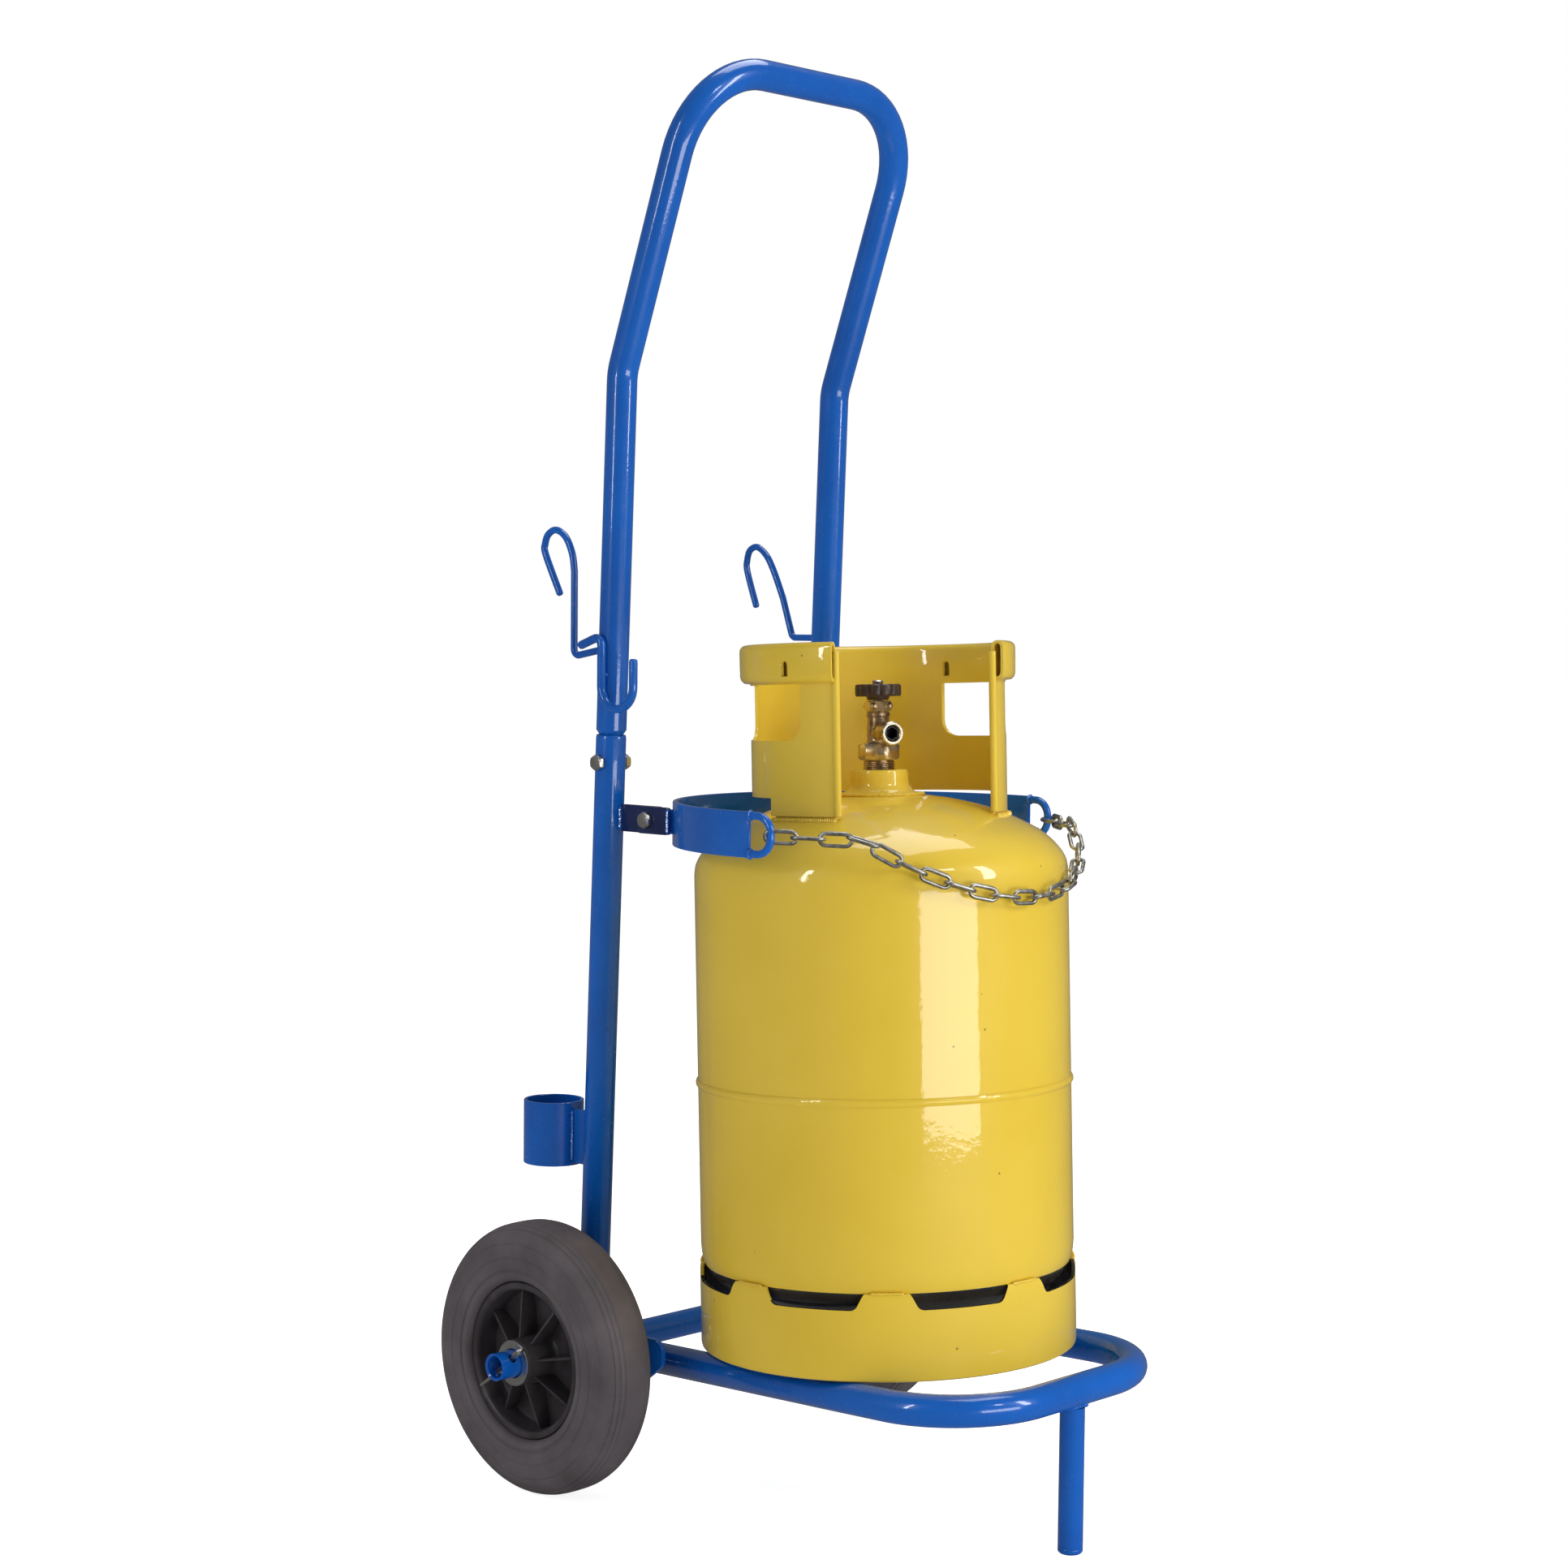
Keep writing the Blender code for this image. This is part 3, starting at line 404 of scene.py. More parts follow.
# ---- Plates and tabs ----------------------------------------------------------------------------
# Sheared 5 mm steel plates: two side plates that join axle, uprights and loop, and two pairs of
# overlapping tabs that hold the ring. Their edges are tumbled, and they are coated with the frame.
PLATE_EDGE = 0.0007


def round_edges(width, segments, test):
    """Rounds the edges of the piece being edited that pass the test."""
    pick_edges(test)
    bpy.ops.mesh.bevel(offset=width, segments=segments, affect="EDGES")
    bpy.ops.mesh.select_mode(type="VERT")


def is_sharp(edge):
    """True for an edge where two faces turn by more than 50 degrees."""
    return len(edge.link_faces) == 2 and edge.calc_face_angle() > math.radians(50)


def reshape(place):
    """Enters edit mode, puts each point where place(number, point) says and selects the whole piece."""
    bpy.ops.object.mode_set(mode="EDIT")
    shape = bmesh.from_edit_mesh(bpy.context.object.data)
    shape.verts.ensure_lookup_table()
    for number, vert in enumerate(shape.verts):
        vert.co = place(number, vert.co)
    bmesh.update_edit_mesh(bpy.context.object.data)
    bpy.ops.mesh.select_all(action="SELECT")


def plate_from(name, outline, low, high):
    """A flat (y, z) outline extruded along X from low to high, its edges rounded."""
    begin()
    bpy.ops.mesh.primitive_circle_add(vertices=len(outline), radius=0.1, fill_type="NGON")
    reshape(lambda number, _: (low, *outline[number]))
    bpy.ops.mesh.extrude_region_move(TRANSFORM_OT_translate={"value": (high - low, 0, 0)})
    bpy.ops.mesh.select_all(action="SELECT")
    bpy.ops.mesh.normals_make_consistent(inside=False)
    round_edges(PLATE_EDGE, 2, is_sharp)
    return close_piece(name, 30)


def rounded_corners(outline, radius, steps=5):
    """A polygon with its corners rounded off."""
    made = []
    for index, corner in enumerate(outline):
        corner = Vector(corner)
        before = Vector(outline[index - 1]) - corner
        after = Vector(outline[(index + 1) % len(outline)]) - corner
        reach = min(radius, before.length * 0.45, after.length * 0.45)
        first, last = corner + before.normalized() * reach, corner + after.normalized() * reach
        for step in range(steps + 1):
            share = step / steps
            made.append(first.lerp(corner, share).lerp(corner.lerp(last, share), share)[:])
    return made


PLATE_OUTLINE = [(0.021, 0.104), (0.021, 0.147), (-0.104, 0.151), (-0.112, 0.144), (-0.112, 0.128),
                 (-0.086, 0.108), (-0.070, 0.104)]
# The tabs are the frame's blue; this darker navy coat on them is painted shade.
TAB_PAINTED_SHADE_COAT = powder_coat("blue_coat_with_painted_shade", "#101C46", "#16285A")
for word, side in SIDES:
    low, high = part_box(word + "_axle_plate")
    outline = rounded_corners([(AXLE_Y + y, z) for y, z in PLATE_OUTLINE], 0.004)
    plate = plate_from(word + "_side_plate", outline, low.x, high.x)
    dress(plate, BLUE_COAT, "blue_enamel", "frame", word + "_axle_plate")
    for part in ("upright_tab", "ring_tab"):
        low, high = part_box(f"{word}_{part}")
        corners = [(low.y, low.z), (high.y, low.z), (high.y, high.z), (low.y, high.z)]
        outline = rounded_corners(corners, 0.0045)
        tab = plate_from(f"{word}_{part}_plate", outline, low.x, high.x)
        dress(tab, TAB_PAINTED_SHADE_COAT, "blue_enamel", "frame", f"{word}_{part}")

# ---- Cylinder ring ------------------------------------------------------------------------------
# A half-ring of 40 x 5 mm flat steel bar, rolled edgewise to the cylinder's size, with a staple of
# 7 mm round bar welded to each end for the chain.
ring_low, ring_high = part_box("cylinder_ring")
RING_THICK = 0.005
RING_EDGE = 0.0009
RING_R = ring_high.x
RING_Y = ring_high.y - RING_R - AXLE_Y
RING_HALF_ANGLE = math.radians(94)
STAPLE_R = 0.0035


def ring_point(angle, radius, z):
    """A point on the half-ring; angle 0 is at the back, next to the uprights."""
    return at(radius * math.sin(angle), RING_Y + radius * math.cos(angle), z)


begin()
bpy.ops.mesh.primitive_plane_add(size=1.0)
reshape(lambda _, corner: ring_point(-RING_HALF_ANGLE, RING_R - (0.5 - corner.x) * RING_THICK,
                                     ring_low.z + (0.5 + corner.y) * (ring_high.z - ring_low.z)))
bpy.ops.mesh.spin(steps=96, angle=2 * RING_HALF_ANGLE, center=at(0, RING_Y, 0), axis=(0, 0, 1))
bpy.ops.mesh.select_all(action="SELECT")
bpy.ops.mesh.normals_make_consistent(inside=False)
round_edges(RING_EDGE, 2, is_sharp)
ring = close_piece("half_ring")
dress(ring, BLUE_COAT, "blue_enamel", "frame", "cylinder_ring")


def rounded_path(corners, bends, steps=10):
    """Points along straight runs joined by an arc of the given radius at each inner corner."""
    points = [corners[0]]
    for before, corner, following, bend in zip(corners, corners[1:], corners[2:], bends):
        back, ahead = (before - corner).normalized(), (following - corner).normalized()
        half = back.angle(ahead) / 2
        reach = bend / math.tan(half)
        former = corner + (back + ahead).normalized() * bend / math.sin(half)
        first = corner + back * reach - former
        hinge = first.cross(corner + ahead * reach - former).normalized()
        for step in range(steps + 1):
            turn = Matrix.Rotation((math.pi - 2 * half) * step / steps, 3, hinge)
            points.append(former + turn @ first)
    return points + [corners[-1]]


def wire(name, points, radius, sides=14, shares=None, closed=False):
    """Round bar along the points; shares gives each point's part of the full radius."""
    begin()
    bpy.ops.curve.primitive_bezier_curve_add()
    bar = bpy.context.object
    bar.data.splines.clear()
    spline = bar.data.splines.new("POLY")
    spline.points.add(len(points) - 1)
    for index, point in enumerate(points):
        spline.points[index].co = (*point, 1.0)
        spline.points[index].radius = shares[index] if shares else 1.0
    spline.use_cyclic_u = closed
    spline.use_smooth = True
    bar.data.bevel_depth = radius
    bar.data.bevel_resolution = sides // 2 - 2
    bar.data.use_fill_caps = not closed
    bpy.ops.object.convert(target="MESH")
    return close_piece(name, 40)


def cropped_bar(name, path, radius, sides=14):
    """A bent bar whose cropped ends are rounded over."""
    first, last = (path[1] - path[0]).normalized(), (path[-2] - path[-1]).normalized()
    nose = [(0.0, 0.45), (0.12, 0.75), (0.35, 0.93), (0.7, 1.0)]
    points = [path[0] + first * radius * reach for reach, _ in nose] + path[1:-1]
    points += [path[-1] + last * radius * reach for reach, _ in reversed(nose)]
    shares = [share for _, share in nose] + [1.0] * (len(path) - 2) + [share for _, share in reversed(nose)]
    return wire(name, points, radius, sides, shares)


def staple_route(side):
    """The U of round bar that stands forward from one end of the half-ring."""
    middle = (ring_low.z + ring_high.z) / 2
    end = ring_point(side * RING_HALF_ANGLE, RING_R - RING_THICK / 2, middle)
    turned = RING_HALF_ANGLE - math.pi / 2
    ahead = Vector((-side * math.sin(turned), -math.cos(turned), 0))
    return [end + rise(0.0165), end + ahead * 0.024 + rise(0.0165),
            end + ahead * 0.024 - rise(0.0165), end - rise(0.0165)]


for word, side in SIDES:
    staple = wire(word + "_staple_bar", rounded_path(staple_route(side), [0.015, 0.015]), STAPLE_R)
    dress(staple, BLUE_COAT, "blue_enamel", "frame", word + "_chain_staple")

# ---- Hooks and rod holder -----------------------------------------------------------------------
# Hose hooks of 6.6 mm wire stand behind the handle's legs, and a torch hook of 8 mm bar is on the
# left one. A sawn 57 mm tube on a strip of plate behind the left upright holds rods or a lance.
HOSE_HOOK_R = 0.0033
TORCH_HOOK_R = 0.0040
HOSE_HOOK_FEET = {"left": [(0.776, 0.776), (0.0335, 0.769)], "right": [(0.788, 0.788), (0.024, 0.788)]}
HOSE_HOOK_ARCHES = {
    "left": [(0.0338, 0.848), (0.0368, 0.864), (0.0460, 0.880), (0.0595, 0.887), (0.0705, 0.883),
             (0.0750, 0.874), (0.0740, 0.864), (0.0530, 0.826)],
    "right": [(0.0375, 0.827), (0.0500, 0.853), (0.0610, 0.870), (0.0740, 0.879), (0.0845, 0.876),
              (0.0885, 0.866), (0.0880, 0.854), (0.0745, 0.818)],
}


def smooth_line(points, steps=4):
    """A curve through a section's points."""
    points = [Vector(p) for p in points]
    made = []
    for index in range(len(points) - 1):
        a, b, c, d = (points[max(0, min(len(points) - 1, index + k))] for k in (-1, 0, 1, 2))
        for step in range(steps):
            t = step / steps
            made.append(0.5 * (2 * b + (c - a) * t + (2 * a - 5 * b + 4 * c - d) * t * t
                               + (3 * b - a - 3 * c + d) * t ** 3))
    return [tuple(p) for p in made] + [tuple(points[-1])]


for word, side in SIDES:
    foot, corner = HOSE_HOOK_FEET[word]
    seat = upright_y(foot[1] - HOSE_HOOK_R) + TUBE_R
    arch = [at(side * HALF_SPACING, y, z) for y, z in smooth_line(HOSE_HOOK_ARCHES[word], 6)]
    start = [at(side * HALF_SPACING, seat, foot[1]), at(side * HALF_SPACING, *corner)]
    path = rounded_path(start + arch[:1], [0.006]) + arch[1:]
    hook = cropped_bar(word + "_hose_hook_wire", path, HOSE_HOOK_R)
    dress(hook, BLUE_COAT, "blue_enamel", "frame", word + "_hose_hook")

hook_x = -HALF_SPACING - TUBE_R - TORCH_HOOK_R
corners = [at(hook_x, y, z) for y, z in ((0.006, 0.779), (-0.0235, 0.789), (-0.0235, 0.722), (-0.066, 0.722),
                                         (-0.066, 0.768))]
hook = cropped_bar("torch_hook_bar", rounded_path(corners, [0.007, 0.0205, 0.0205]), TORCH_HOOK_R)
dress(hook, BLUE_COAT, "blue_enamel", "frame", "torch_hook")


def lathe(name, profile, segments, smooth=35):
    """A closed (radius, height) outline spun round the upright axis through the origin."""
    begin()
    bpy.ops.mesh.primitive_circle_add(vertices=len(profile), radius=1.0)
    reshape(lambda number, _: polar(profile[number][0], 0.0, profile[number][1]))
    bpy.ops.mesh.spin(steps=segments, angle=-math.tau, center=(0, 0, 0), axis=(0, 0, 1))
    return close_piece(name, smooth)


def set_down(piece, place):
    """Moves a finished shape to its place and leaves its object at the origin."""
    take(piece)
    piece.matrix_world = place
    bpy.ops.object.transform_apply(location=True, rotation=True, scale=True)
    return piece


def ring_section(bore, outer, low, high, edge):
    """The section of a tube or washer with chamfered edges."""
    return [(outer - edge, low), (outer, low + edge), (outer, high - edge), (outer - edge, high),
            (bore + edge, high), (bore, high - edge), (bore, low + edge), (bore + edge, low)]


HOLDER_WALL = 0.003
low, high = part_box("rod_holder")
holder_r = (high.x - low.x) / 2
middle = (low + high) / 2
section = ring_section(holder_r - HOLDER_WALL, holder_r, low.z, high.z, 0.0005)
holder = set_down(lathe("rod_holder_tube", section, 72), Matrix.Translation((middle.x, middle.y, 0)))
dress(holder, BLUE_COAT, "blue_enamel", "frame", "rod_holder")
low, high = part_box("rod_holder_plate")
strip = plate_from("rod_holder_strip", [(low.y, low.z), (high.y, low.z), (high.y, high.z), (low.y, high.z)],
                   low.x, high.x)
dress(strip, BLUE_COAT, "blue_enamel", "frame", "rod_holder_plate")

# ---- Frame welds --------------------------------------------------------------------------------
# MIG weld beads under the powder coat. Each bead is a row of overlapping ripples about 2 mm apart,
# laid where a plate, bar or tube meets its neighbour.
RIPPLE = 0.0021


def spaced(points, step, closed=False):
    """The same line with its points one step apart."""
    line = list(points) + ([points[0]] if closed else [])
    made, left = [line[0]], step
    for start, stop in zip(line, line[1:]):
        run = (stop - start).length
        done = left
        while done <= run:
            made.append(start.lerp(stop, done / run))
            done += step
        left = done - run
    return made[:-1] if closed and len(made) > 3 else made


def bead(points, radius, closed=False):
    """A weld bead: a bar that swells once per ripple and wanders a little."""
    steps = 4
    path = spaced([Vector(p) for p in points], RIPPLE / steps, closed)
    shares = []
    for index, point in enumerate(path):
        swell = 0.80 + 0.20 * (1 - (index % steps) / (steps - 1))
        shares.append(swell * (1 + 0.15 * noise.noise(point * 300)))
    if not closed:
        for index, share in ((0, 0.35), (1, 0.7), (2, 0.9), (-1, 0.35), (-2, 0.7), (-3, 0.9)):
            shares[index] *= share
    return wire("bead", path, radius, 8, shares, closed)


def round_line(centre, radius, normal, steps=40):
    """A circle of points round an axis."""
    side = normal.orthogonal().normalized() * radius
    return [centre + Matrix.Rotation(math.tau * n / steps, 3, normal) @ side for n in range(steps)]


def joined(name, pieces):
    """Several pieces as one object."""
    take(pieces[0])
    for piece in pieces[1:]:
        piece.select_set(True)
    bpy.ops.object.join()
    pieces[0].name = pieces[0].data.name = name
    return pieces[0]


welds = []
for word, side in SIDES:
    foot = at(side * HALF_SPACING, upright_y(0.139), 0.1392)
    welds.append(bead(round_line(foot, TUBE_R + 0.0006, UP), 0.0024, True))
    bottom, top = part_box(word + "_upright_tab")
    for x in (bottom.x, top.x):
        welds.append(bead([(x, top.y - 0.0006, z) for z in (bottom.z + 0.002, top.z - 0.002)], 0.0020))
    bottom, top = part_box(word + "_ring_tab")
    for x in (bottom.x, top.x):
        welds.append(bead([(x, bottom.y + 0.0004, z) for z in (bottom.z + 0.001, top.z - 0.001)], 0.0022))
    route = staple_route(side)
    for end, tip in ((route[0], route[1]), (route[3], route[2])):
        heading = (tip - end).normalized()
        welds.append(bead(round_line(end + heading * 0.001, STAPLE_R, heading, 24), 0.0017, True))
    seat_z = HOSE_HOOK_FEET[word][0][1]
    seat = at(side * HALF_SPACING, upright_y(seat_z) + TUBE_R + 0.0012, seat_z)
    welds.append(bead(round_line(seat, HOSE_HOOK_R + 0.0002, Vector((0, 1, 0)), 24), 0.0016, True))
    plate_face = side * (HALF_SPACING + TUBE_R)
    welds.append(bead([at(plate_face, y, 0.1497 - 0.0005 * n) for n, y in enumerate((0.012, 0.0, -0.012))],
                      0.0022))
# The torch hook is tacked to the handle's leg twice; the holder's strip is welded down all its edges.
for z, start_y, end_y in ((0.7835, -0.0155, -0.0035), (0.752, -0.0275, -0.0195)):
    welds.append(bead([at(hook_x + 0.0035, start_y, z), at(hook_x + 0.0035, end_y, z + 0.004)], 0.0019))
low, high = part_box("rod_holder_plate")
for x in (low.x, high.x):
    welds.append(bead([(x, high.y - 0.0006, z) for z in (low.z + 0.001, high.z - 0.001)], 0.0023))
    welds.append(bead([(x, low.y + 0.0008 + LEAN * 0.001, low.z + 0.001),
                       (x, low.y + 0.0008 - LEAN * 0.050, high.z - 0.001)], 0.0021))
loop_centre = leg_foot + rise(loop_z(leg_foot.y - AXLE_Y))
saddle = []
for n in range(48):
    step = polar(LEG_R + 0.0008, math.tau * n / 48)
    step.z = -math.sqrt(max(TUBE_R ** 2 - (step.y + 0.0025) ** 2, 0.00002))
    saddle.append(loop_centre + step)
welds.append(bead(saddle, 0.0023, True))
dress(joined("frame_weld_beads", welds), BLUE_COAT, "blue_enamel", "frame")

# ---- Fasteners ----------------------------------------------------------------------------------
# M8 hexagon screws and nuts, cold formed and bright zinc plated: 13 mm across flats, with a
# chamfered head. Two washers and a split pin hold each wheel on the axle.
HEX_CORNER = 0.0075
HEAD_HEIGHT = 0.0053
BOLT_R = 0.004


def bright_zinc():
    """Electroplated zinc with a clear passivate: a bluish white metal with faint yellow clouding."""
    finish, tree, place = new_finish("bright_zinc_plate")
    cloud = add(tree, "ShaderNodeTexNoise", {"Scale": 140.0, "Detail": 4.0}, {"Vector": place})
    tone = add(tree, "ShaderNodeValToRGB", {"stops": [(0.3, srgb("#DADDE0")), (0.7, srgb("#CFC9BA"))]},
               {"Fac": cloud.outputs["Fac"]})
    grain = add(tree, "ShaderNodeTexNoise", {"Scale": 900.0, "Detail": 3.0}, {"Vector": place})
    rough = add(tree, "ShaderNodeMapRange", {"To Min": 0.20, "To Max": 0.42}, {"Value": grain.outputs["Fac"]})
    bump = add(tree, "ShaderNodeBump", {"Strength": 0.15, "Distance": 0.0002},
               {"Height": grain.outputs["Fac"]})
    return shaded(finish, tree, tone.outputs["Color"], rough, bump, Metallic=1.0)


ZINC = bright_zinc()


def hexagon(name, corner_r, height, both_ends):
    """A hexagon whose corners are turned off by a 30 degree chamfer at one end or both."""
    begin()
    bpy.ops.mesh.primitive_cylinder_add(vertices=6, radius=corner_r, depth=height,
                                        location=(0, 0, height / 2), rotation=(0, 0, math.pi / 6))
    bpy.ops.object.transform_apply(location=True, rotation=True, scale=True)
    stock = close_piece(name, 30)
    flat, drop = corner_r * 0.84, corner_r * 0.10
    profile = [(0.0, -0.001 if not both_ends else 0.0)]
    profile += [(flat, 0.0), (corner_r * 1.02, drop)] if both_ends else [(corner_r * 1.1, -0.001)]
    profile += [(corner_r * 1.02, height - drop), (flat, height), (0.0, height)]
    cut(stock, lathe("chamfer", profile, 48), "INTERSECT")
    return stock


def threaded(name, radius, low, high, pitch=0.00125):
    """A screw's shank: an upright bar with thread ridges and a chamfered end at high."""
    profile = [(0.0, low)]
    z = low
    while z < high - pitch:
        profile += [(radius, z + pitch * 0.1), (radius, z + pitch * 0.3), (radius - 0.0006, z + pitch * 0.8)]
        z += pitch
    profile += [(radius - 0.0009, high), (0.0, high)]
    return lathe(name, profile, 32, smooth=50)


def lay_down(piece, node, x, heading=1):
    """Lays an upright shape along X with its foot at x, on a CAD node's centre line, in zinc."""
    low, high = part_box(node)
    middle = (low + high) / 2
    place = Matrix.Translation((x, middle.y, middle.z)) @ Matrix.Rotation(heading * math.pi / 2, 4, "Y")
    dress(set_down(piece, place), ZINC, "zinc_fasteners", "frame", node)


def screw(node, name, outward):
    """Places a screw on a CAD bolt: its head is at the outer end, or at the inner one."""
    low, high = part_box(node)
    side = 1 if low.x + high.x > 0 else -1
    heading = side if outward else -side
    head_x = high.x if heading > 0 else low.x
    head = hexagon("head", HEX_CORNER, HEAD_HEIGHT, False)
    shank = threaded("shank", BOLT_R, -(high.x - low.x) + HEAD_HEIGHT, 0.0006)
    lay_down(joined(name, [head, shank]), node, head_x - heading * HEAD_HEIGHT, heading)


def nut(node, name):
    """Places a nut on a CAD nut."""
    low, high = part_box(node)
    height = high.x - low.x
    piece = hexagon("nut", HEX_CORNER, height, True)
    bore = lathe("bore", [(0.0, -0.001), (BOLT_R + 0.0009, -0.001), (BOLT_R + 0.0002, 0.0007),
                          (BOLT_R + 0.0002, height - 0.0007), (BOLT_R + 0.0009, height + 0.001),
                          (0.0, height + 0.001)], 32)
    cut(piece, bore)
    reshade(piece, 30)
    piece.name = piece.data.name = name
    lay_down(piece, node, low.x)


def washer(node, name, bore):
    """Places a punched washer, its outer edge a little domed by the punch."""
    low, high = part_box(node)
    thick = high.x - low.x
    section = ring_section(bore, (high.z - low.z) / 2, 0.0, thick, thick * 0.25)
    lay_down(lathe(name, section, 64), node, low.x)


for word, side in SIDES:
    for where, number, outward in (("handle", "", True), ("ring", "", True), ("loop", "_1", False),
                                   ("loop", "_2", False)):
        screw(f"{word}_{where}_bolt{number}", f"{word}_{where}_screw{number}", outward)
        nut(f"{word}_{where}_nut{number}", f"{word}_{where}_hexagon_nut{number}")
    for where in ("inner", "outer"):
        washer(f"{word}_{where}_washer", f"{word}_{where}_axle_washer", AXLE_R + 0.0006)
    centre = Vector((side * PIN_X, AXLE_Y, AXLE_Z))
    out = Vector((side, 0, 0))
    leg_gap = 0.0018
    spots = [(0.036, leg_gap + 0.004), (0.026, leg_gap + 0.0012), (0.017, leg_gap), (-0.016, leg_gap),
             (-0.021, 0.0046), (-0.026, 0.0032), (-0.0275, 0.0), (-0.026, -0.0032), (-0.021, -0.0046),
             (-0.016, -leg_gap), (0.017, -leg_gap), (0.024, -leg_gap - 0.0016), (0.030, -leg_gap - 0.005)]
    pin_line = [centre + pin_slope * along + out * sideways for along, sideways in spots]
    pin_shares = [0.75] + [1.0] * (len(spots) - 2) + [0.75]
    pin = wire(word + "_split_pin_wire", pin_line, 0.00165, 12, pin_shares)
    dress(pin, ZINC, "zinc_fasteners", "frame", word + "_split_pin")

# ---- Wheels -------------------------------------------------------------------------------------
# Puncture-proof wheels: a 250 x 60 mm solid rubber tyre, moulded with fine grooves on its shoulders
# and rings on its sides, stretched over a black polypropylene rim with eight thin ribs.
RIB_COUNT = 8


def moulded_rubber():
    """Black solid rubber with a dull bloom: greyish brown, nearly matt, dusty in patches.
    The mould's spark-eroded grain is about 0.4 mm and is drawn at 1.5 mm."""
    finish, tree, place = new_finish("solid_rubber")
    bloom = add(tree, "ShaderNodeTexNoise", {"Scale": 22.0, "Detail": 6.0, "Roughness": 0.6},
                {"Vector": place})
    tone = add(tree, "ShaderNodeValToRGB", {"stops": [(0.30, srgb("#544E52")), (0.72, srgb("#686165"))]},
               {"Fac": bloom.outputs["Fac"]})
    grain = add(tree, "ShaderNodeTexNoise", {"Scale": 650.0, "Detail": 3.0}, {"Vector": place})
    rough = add(tree, "ShaderNodeMapRange", {"To Min": 0.52, "To Max": 0.74}, {"Value": bloom.outputs["Fac"]})
    bump = add(tree, "ShaderNodeBump", {"Strength": 0.25, "Distance": 0.0003},
               {"Height": grain.outputs["Fac"]})
    return shaded(finish, tree, tone.outputs["Color"], rough, bump, Specular_IOR_Level=0.4)


def moulded_plastic(name, deep, light, low_rough, high_rough):
    """Injection-moulded plastic with a fine eroded grain and faint flow clouds."""
    finish, tree, place = new_finish(name)
    flow = add(tree, "ShaderNodeTexNoise", {"Scale": 35.0, "Detail": 4.0, "Distortion": 0.8},
               {"Vector": place})
    tone = add(tree, "ShaderNodeValToRGB", {"stops": [(0.3, srgb(deep)), (0.7, srgb(light))]},
               {"Fac": flow.outputs["Fac"]})
    grain = add(tree, "ShaderNodeTexVoronoi", {"Scale": 800.0}, {"Vector": place})
    rough = add(tree, "ShaderNodeMapRange", {"To Min": low_rough, "To Max": high_rough},
                {"Value": flow.outputs["Fac"]})
    bump = add(tree, "ShaderNodeBump", {"Strength": 0.12, "Distance": 0.0002},
               {"Height": grain.outputs["Distance"]})
    return shaded(finish, tree, tone.outputs["Color"], rough, bump)


RUBBER = moulded_rubber()
RIM_PLASTIC = moulded_plastic("black_polypropylene", "#332E32", "#4A4549", 0.34, 0.52)

# Half of the tyre's section, from the seat on the rim out over the side and shoulder to the crown.
TYRE_HALF = [(0.0725, 0.0000), (0.0725, 0.0236), (0.0738, 0.0268), (0.0765, 0.0290), (0.0790, 0.0296),
             (0.0808, 0.0292), (0.0818, 0.0284), (0.0830, 0.0284), (0.0838, 0.0293), (0.0860, 0.0299),
             (0.0935, 0.0300), (0.0943, 0.0295), (0.0952, 0.0295), (0.0960, 0.0300), (0.1030, 0.0299),
             (0.1068, 0.0294), (0.1076, 0.0287), (0.1086, 0.0286), (0.1094, 0.0287), (0.1130, 0.0273),
             (0.1165, 0.0251), (0.1188, 0.0229), (0.1187, 0.0219), (0.1194, 0.0211), (0.1207, 0.0208),
             (0.1221, 0.0187), (0.1217, 0.0177), (0.1223, 0.0167), (0.1232, 0.0163), (0.1240, 0.0138),
             (0.1234, 0.0128), (0.1239, 0.0118), (0.1246, 0.0113), (0.1249, 0.0070), (0.1250, 0.0000)]
# How far the hub reaches from the middle of the wheel, on its outside and on its inside.
RIM_HUB = {True: 0.0350, False: 0.0400}


def rim_half(outside):
    """One half of the rim's section: bore, hub, web, deep wall, rolled lip and tyre seat."""
    hub = RIM_HUB[outside]
    return [(0.01295, hub - 0.0012), (0.0140, hub), (0.0196, hub), (0.0208, hub - 0.0012), (0.0226, 0.0080),
            (0.0240, 0.0052), (0.0268, 0.0036), (0.0590, 0.0028), (0.0618, 0.0040), (0.0632, 0.0068),
            (0.0641, 0.0200), (0.0647, 0.0226), (0.0660, 0.0243), (0.0680, 0.0251), (0.0702, 0.0251),
            (0.0714, 0.0243), (0.0720, 0.0225), (0.0720, 0.0000)]


def rib_corner(_, corner):
    """Where a corner of a unit cube goes to make a rib along +X."""
    outer, top = corner.x > 0, corner.z > 0
    thick = math.copysign(0.0010 if top else 0.0016, corner.y)
    return (0.0645 if outer else 0.0200, thick, (0.0150 if outer else 0.0262) if top else 0.0)


def rib(number, outside):
    """A thin web rib, tall at the hub and falling away to the rim's wall."""
    begin()
    bpy.ops.mesh.primitive_cube_add(size=1.0)
    reshape(rib_corner)
    piece = close_piece("rib")
    turn = Matrix.Rotation(math.tau * (number + 0.25) / RIB_COUNT, 4, "Z")
    if not outside:
        turn = turn @ Matrix.Rotation(math.pi, 4, "X")
    return set_down(piece, turn)


